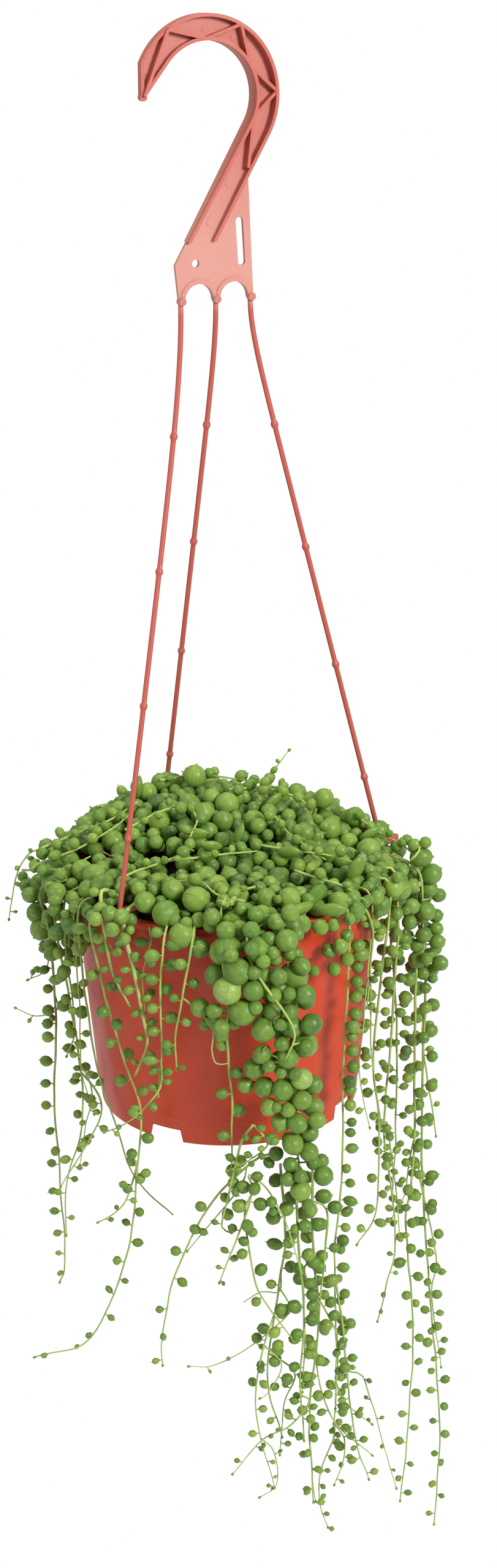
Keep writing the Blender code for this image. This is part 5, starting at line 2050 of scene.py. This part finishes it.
@dataclass
class Crown:
    """Pearls, young leaves and runners heaped over the mix and the rim."""

    plan: Plan
    seed: int = 11
    tries: int = 15000
    reach: tuple[float, ...] = (80, 79, 77, 76, 77, 79, 78, 70, 72, 83, 73, 77)
    hollows: tuple[Point, ...] = ((-27, -14, 6.0), (-66, -8, 4.0), (8, -8, 3.5))
    dents: tuple[Ball, ...] = (
        (-24, -26, 9, 13), (-60, -18, 7, 9), (10, -18, 6, 8),
        (32, -44, 6, 8), (-4, 24, 5, 9), (50, 0, 5, 8),
    )

    def _reach(self, turn: float) -> float:
        """How far the crown reaches from the axis, in millimetres.

        Args:
            turn: The direction, as an angle.

        Returns:
            The reach.
        """
        share = (turn / (2 * pi)) % 1.0 * len(self.reach)
        low = int(share) % len(self.reach)
        ease = (1 - cos((share - int(share)) * pi)) / 2
        return self.reach[low] * (1 - ease) + self.reach[(low + 1) % len(self.reach)] * ease

    def height(self, x: float, y: float) -> float:
        """Height of the heap in millimetres above the rim.

        Args:
            x: The place sideways, in millimetres.
            y: The place backwards, in millimetres.

        Returns:
            The height.
        """
        away = hypot(x, y)
        depth = exp(-((y - 30)**2) / 5600)
        broad = 25 * exp(-((x + 10)**2) / 4900) * depth
        humps = 22 * exp(-((x + 18)**2) / 2300) * depth + 9 * exp(-((x - 42)**2) / 700) * depth
        behind = min(max((y - 20) / 35, 0.0), 1.0)
        dome = broad + (humps - broad) * behind
        front = 6 * exp(-((y + 66)**2) / 500)
        share = min(max((away - 68) / 22, 0.0), 1.0)
        dented = sum(drop * exp(-((x - a)**2 + (y - b)**2) / (wide * wide))
                     for a, b, drop, wide in self.dents)
        return dome + 4 + front - dented - 16 * share * share * (3 - 2 * share)

    def _clear_of_clips(self, place: Vector, radius: float) -> bool:
        """Whether a pearl leaves the strands and their clips free.

        Args:
            place: The pearl's middle.
            radius: Its radius.

        Returns:
            Whether it does.
        """
        for side in Side:
            turn = radians(side.value[1])
            along = place.x * cos(turn) + place.y * sin(turn)
            across = -place.x * sin(turn) + place.y * cos(turn)
            if along > 64 * MM and abs(across) < radius + 2.2 * MM:
                return False
        return True

    def _scatter(self, growth: Growth, crowd: Crowd, dice: Dice) -> None:
        """Fill the heap with pearls from the top down, where there is room.

        Args:
            growth: What the crown is gathered in.
            crowd: The pearls already placed.
            dice: The crown's own dice.
        """
        placed = 0
        for attempt in range(self.tries):
            layer = attempt / self.tries
            turn = dice.uniform(0, 2 * pi)
            away = self._reach(turn) * sqrt(dice.random())
            x, y = away * cos(turn), away * sin(turn)
            radius = dice.choice((2.8, 3.2, 3.5, 3.8, 4.0, 4.2, 4.5, 4.8, 5.1, 5.5)) * (1.0 - 0.3 * layer)
            top = self.height(x, y)
            if any(hypot(x - a, y - b) < r + radius for a, b, r in self.hollows):
                continue
            z = top - radius - layer * dice.uniform(0.0, 11.0)
            if away < 68 and z < -8:
                continue
            place = self.plan.at(x, y, z)
            size = radius * MM
            if z < 3 and 66 < away < 75 + radius:
                place = Wall(self.plan).clear(place, size)
            place = self.plan.keep(place, size)
            if not self._clear_of_clips(place, size) or not crowd.room(place, size, 0.93 - 0.1 * layer):
                continue
            crowd.add(place, size)
            lean = Vector((x, y, 0)).normalized() * (0.25 + away / 90)
            axis = Vector((dice.gauss(0, 0.55), dice.gauss(0, 0.55) - 0.15, 0.75)) + lean
            draw = dice.random()
            form = Form.ROUND if draw < 0.62 else Form.PLUMP if draw < 0.86 else Form.LEMON
            middle = max(0.0, 1.0 - away / 75.0)
            # Pearls set deeper in the heap get a darker tone, painted shade for the gaps between pearls.
            # Bigger pearls are lighter, and pearls near the middle are darker.
            tone = held(dice, 0.40 + 0.035 * radius - 0.2 * layer - 0.22 * middle, 0.19, 0.0, 1.0)
            growth.pearl(place, axis, size, form, tone, dice, 0.9 if dice.random() < 0.02 else 0.12)
            placed += 1
        LOG.info("crown: %d pearls scattered", placed)

    def _runners(self, growth: Growth, dice: Dice) -> None:
        """Add the stems that wander over the heap, with small pearls."""
        for route in CROWN_RUNNERS:
            line = smooth_line(self.plan.places(route))
            line = [p + noise.noise_vector(p * 60) * 0.8 * MM for p in line]
            growth.stem(line, taper(line, 0.62, 0.25), 6, dice.uniform(0.3, 1.0))
            for i in range(3, len(line) - 1, 3):
                radius = dice.uniform(1.6, 3.0) * MM
                out = Vector((dice.gauss(0, 0.7), dice.gauss(0, 0.7), dice.uniform(0.0, 0.8)))
                out.normalize()
                centre = line[i] + out * (radius + 1.0 * MM)
                growth.stem([line[i], centre - out * radius * 0.9], [0.4 * MM, 0.34 * MM], 5, 0.6)
                form = dice.choice((Form.PLUMP, Form.ROUND, Form.LEMON))
                growth.pearl(centre, out, radius, form, dice.uniform(0.45, 0.85), dice)

    def _leaves(self, growth: Growth, dice: Dice) -> None:
        """Add the pointed young leaves and the upright shoot."""
        for x, y, z, half, way in CROWN_LEAVES:
            growth.pearl(self.plan.at(x, y, z), Vector(way), half * MM, Form.ALMOND,
                         dice.uniform(0.5, 0.7), dice)
        line = smooth_line(self.plan.places(UPRIGHT_SHOOT), 2.0 * MM)
        last = len(line) - 1
        growth.stem(line, taper(line, 0.5, 0.25), 6, 0.9)
        for index, radius in ((2, 2.6), (4, 2.4), (8, 1.7), (11, 1.0), (last, 0.8)):
            way = Vector(((-1) ** index * 0.6, -0.2, 0.7))
            spot = line[min(index, last)] + way.normalized() * (radius + 0.4) * MM
            growth.pearl(spot, way, radius * MM, Form.LEMON, 0.7, dice)
        for k in range(9):
            turn = k * 2.4
            way = Vector((cos(turn), sin(turn), 0.8))
            growth.pearl(self.plan.at(0, -77, 12) + way * (1.0 + 0.25 * k) * MM, way,
                         (1.3 + 0.1 * (k % 3)) * MM, Form.LEMON, 1.0, dice, 0.5)

    def _dried(self, growth: Growth, dice: Dice) -> None:
        """Add withered brown stems and roots."""
        spots = ((-10, 52, 25), (-3, 48, 27), (23, -78, 6), (27, -76, 2), (80, -6, 4), (-48, -24, 16),
                 (-14, -32, 20), (40, 10, 20), (16, -97, -44), (22, -97, -30), (60, -28, 12))
        for spot in spots:
            line = [self.plan.at(*spot)]
            way = Vector((dice.gauss(0, 1), dice.gauss(0, 0.5), dice.uniform(-0.5, 0.6))).normalized()
            for _ in range(7):
                way = (way + noise.noise_vector(line[-1] * 400) * 0.6).normalized()
                line.append(self.plan.keep(line[-1] + way * 1.6 * MM, 1.0 * MM))
            growth.stem(line, [(0.5 - 0.04 * i) * MM for i in range(len(line))], 5, 0.2, 1.0)

    def build(self) -> None:
        """Make the crown."""
        dice = random.Random(self.seed)
        growth, crowd = Growth(), Crowd(13 * MM)
        for x, y, z, radius in CROWN_PEARLS:
            place = self.plan.keep(self.plan.at(x, y, z), radius * MM)
            crowd.add(place, radius * MM)
            axis = Vector((x / 90 + dice.gauss(0, 0.4), y / 90 - 0.3, dice.uniform(0.1, 0.9)))
            form = dice.choice((Form.ROUND, Form.ROUND, Form.PLUMP))
            growth.pearl(place, axis, radius * MM, form, dice.uniform(0.5, 0.8), dice, 0.1)
        self._scatter(growth, crowd, dice)
        self._runners(growth, dice)
        self._leaves(growth, dice)
        self._dried(growth, dice)
        crown = growth.piece("crown_of_pearls")
        dress(crown, "crown")


@dataclass
class Cluster:
    """A bunch of big pearls that hangs over the rim."""

    plan: Plan
    node: str
    pearls: tuple[Ball, ...]
    stems: tuple[tuple[Point, ...], ...]
    seed: int
    mottled: int = -1
    fill: int = 0
    spread: float = 11.0 * MM

    def _fill(self, growth: Growth, lines: list[list[Vector]], crowd: Crowd, dice: Dice) -> None:
        """Add more pearls close round the stems where there is room.

        Args:
            growth: What the piece is gathered in.
            lines: The stems' points.
            crowd: The pearls already placed.
            dice: The piece's own dice.
        """
        for _ in range(self.fill):
            near = dice.choice(dice.choice(lines))
            radius = dice.uniform(2.9, 5.0) * MM
            out = Vector((dice.gauss(0, 1), dice.gauss(-0.2, 0.6), dice.gauss(0, 0.4))).normalized()
            place = Wall(self.plan).clear(near + out * dice.uniform(0.3, 1.0) * self.spread, radius)
            place = self.plan.keep(place, radius * 1.1)
            if crowd.room(place, radius, 0.9):
                crowd.add(place, radius)
                tone = held(dice, 0.5, 0.12, 0.1, 0.85)
                growth.pearl(place, place - near, radius, Form.ROUND, tone, dice, 0.1)

    def build(self) -> None:
        """Make the cluster."""
        dice = random.Random(self.seed)
        growth = Growth()
        lines = [[self.plan.keep(p, 1.0 * MM) for p in smooth_line(self.plan.places(route))]
                 for route in self.stems]
        for line in lines:
            growth.stem(line, taper(line, 0.72, 0.25), 6, dice.uniform(0.3, 0.9))
        for index, (x, y, z, radius) in enumerate(self.pearls):
            centre = self.plan.keep(self.plan.at(x, y, z), radius * MM * 1.1)
            near = min((p for line in lines for p in line), key=lambda p: (p - centre).length)
            axis = (centre - near).normalized() * 0.5 + Vector((x, y, 0)).normalized() * 0.8
            axis += Vector((dice.gauss(0, 0.35), 0, dice.gauss(0, 0.35)))
            axis.normalize()
            base = centre - axis * radius * 0.93 * MM
            growth.stem([near, near.lerp(base, 0.6) - Vector((0, 0, 0.6 * MM)), base],
                        [0.5 * MM, 0.42 * MM, 0.5 * MM], 5, 0.6)
            mottle = 1.0 if index == self.mottled else 0.1
            tone = 0.95 if index == self.mottled else held(dice, 0.5, 0.12, 0.1, 0.85)
            form = dice.choice((Form.ROUND, Form.ROUND, Form.PLUMP))
            growth.pearl(centre, axis, radius * MM, form, tone, dice, mottle)
        crowd = Crowd(13 * MM)
        for x, y, z, radius in self.pearls:
            crowd.add(self.plan.keep(self.plan.at(x, y, z), radius * MM * 1.1), radius * MM)
        self._fill(growth, lines, crowd, dice)
        cluster = growth.piece(f"{self.node}_pearls")
        dress(cluster, self.node)


CLUSTERS = (
    ("cluster_left", LEFT_PEARLS, (((-74, 0, 4), (-84, -4, -4), (-86, -8, -22)),
                                   ((-66, -34, 4), (-70, -38, -8), (-70, -36, -26))), 31, -1, 50),
    ("cluster_right", RIGHT_PEARLS, (((76, 2, 4), (88, 0, -4), (90, 0, -24), (91, 2, -54)),
                                     ((74, 14, 3), (86, 14, -10), (90, 16, -40)),
                                     ((74, -14, 2), (80, -10, -14), (82, -8, -36))), 32, -1, 60),
    ("cluster_front", FRONT_PEARLS, (((-2, -76, 4), (-2, -88, -8), (0, -90, -30), (-2, -87, -44)),),
     33, 2, 14),
    ("cluster_fall", FALL_PEARLS, (((22, -78, 4), (26, -86, -14), (24, -90, -40), (26, -93, -70),
                                    (30, -90, -106)),
                                   ((8, -80, 5), (10, -92, -8), (22, -101, -25), (28, -102, -38),
                                    (24, -103, -50))), 34, 17, 1400),
)


# Studio.

WHITE = (1.0, 1.0, 1.0, 1.0)


@dataclass
class Studio:
    """Pale floor, soft lights and the camera."""

    place: Point = (0.0, -1.0252, 0.03875)
    down: float = radians(19.304)
    aside: float = radians(0.6)
    roll: float = radians(-0.677)
    lens: float = 55.36
    floor: float = -1.25
    extent: float = 60.0
    ambient: float = 0.42

    def _lamp(self, name: str, place: Point, aim: Point, size: float, power: float) -> None:
        """Add one soft area light.

        Args:
            name: Its name.
            place: Where it stands.
            aim: What it faces.
            size: How wide it is.
            power: Its power, in watts.
        """
        lamp = bpy.data.lights.new(name, "AREA")
        lamp.shape = "DISK"
        lamp.size = size
        lamp.energy = power
        made = linked(name, lamp)
        made.location = place
        made.rotation_euler = (Vector(aim) - Vector(place)).to_track_quat("-Z", "Y").to_euler()

    def build(self) -> None:
        """Make the studio."""
        bm = bmesh.new()
        bmesh.ops.create_grid(bm, x_segments=8, y_segments=8, size=self.extent)
        bmesh.ops.translate(bm, vec=(0.0, 0.0, self.floor), verts=bm.verts)
        floor = linked("studio_floor", tidy_mesh("studio_floor", bm))
        floor.data.materials.append(StageFinish().build())
        floor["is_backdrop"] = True
        world = bpy.data.worlds.new("studio_air")
        world.use_nodes = True
        tree = Tree(world.node_tree)
        air = world.node_tree.nodes["Background"]
        fix(air, Color=WHITE, Strength=self.ambient)
        seen = tree.add("Background")
        fix(seen, Color=WHITE)
        both = tree.add("MixShader")
        tree.wire(tree.add("LightPath").outputs["Is Camera Ray"], both.inputs[0])
        tree.wire(air.outputs[0], both.inputs[1])
        tree.wire(seen.outputs[0], both.inputs[2])
        tree.wire(both.outputs[0], world.node_tree.nodes["World Output"].inputs["Surface"])
        bpy.context.scene.world = world
        bpy.context.scene.view_settings.view_transform = "Standard"
        self._lamp("key", (0.95, -1.10, 0.42), (0.0, 0.0, -0.40), 0.5, 24.0)
        self._lamp("fill", (-1.3, -0.7, 0.1), (0.0, 0.0, -0.35), 0.9, 5.0)
        self._lamp("top", (-0.2, 0.5, 2.0), (0.0, 0.0, -0.35), 1.0, 24.0)
        self._camera()

    def _camera(self) -> None:
        """Make the camera and choose it."""
        flat = cos(self.down)
        ahead = Vector((sin(self.aside) * flat, cos(self.aside) * flat, -sin(self.down)))
        right = ahead.cross(Vector((0.0, 0.0, 1.0))).normalized()
        above = right.cross(ahead)
        across = right * cos(self.roll) + above * sin(self.roll)
        upward = above * cos(self.roll) - right * sin(self.roll)
        camera = bpy.data.cameras.new("camera")
        camera.lens = self.lens
        camera.sensor_width = 36.0
        made = linked("camera", camera)
        pose = Matrix((across, upward, -ahead)).transposed().to_4x4()
        pose.translation = Vector(self.place)
        made.matrix_world = pose
        bpy.context.scene.camera = made


def main() -> None:
    """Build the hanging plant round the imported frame."""
    logging.basicConfig(level=logging.INFO, format="%(name)s: %(message)s")
    noise.seed_set(NOISE_SEED)
    for old in list(bpy.data.objects):
        bpy.data.objects.remove(old, do_unlink=True)
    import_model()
    plan = Plan.from_frame()
    Studio().build()
    PotShell(plan).build()
    PottingMix(plan).build()
    hook = HangerHook()
    hook.build()
    for side in Side:
        HangerStrand(plan, hook, side).build()
    Crown(plan).build()
    for entry in CLUSTERS:
        Cluster(plan, *entry).build()
    for index, (node, routes) in enumerate(TRAILS.items()):
        Trail(plan, node, routes, 100 + index).build()
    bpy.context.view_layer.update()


if __name__ == "__main__":
    main()
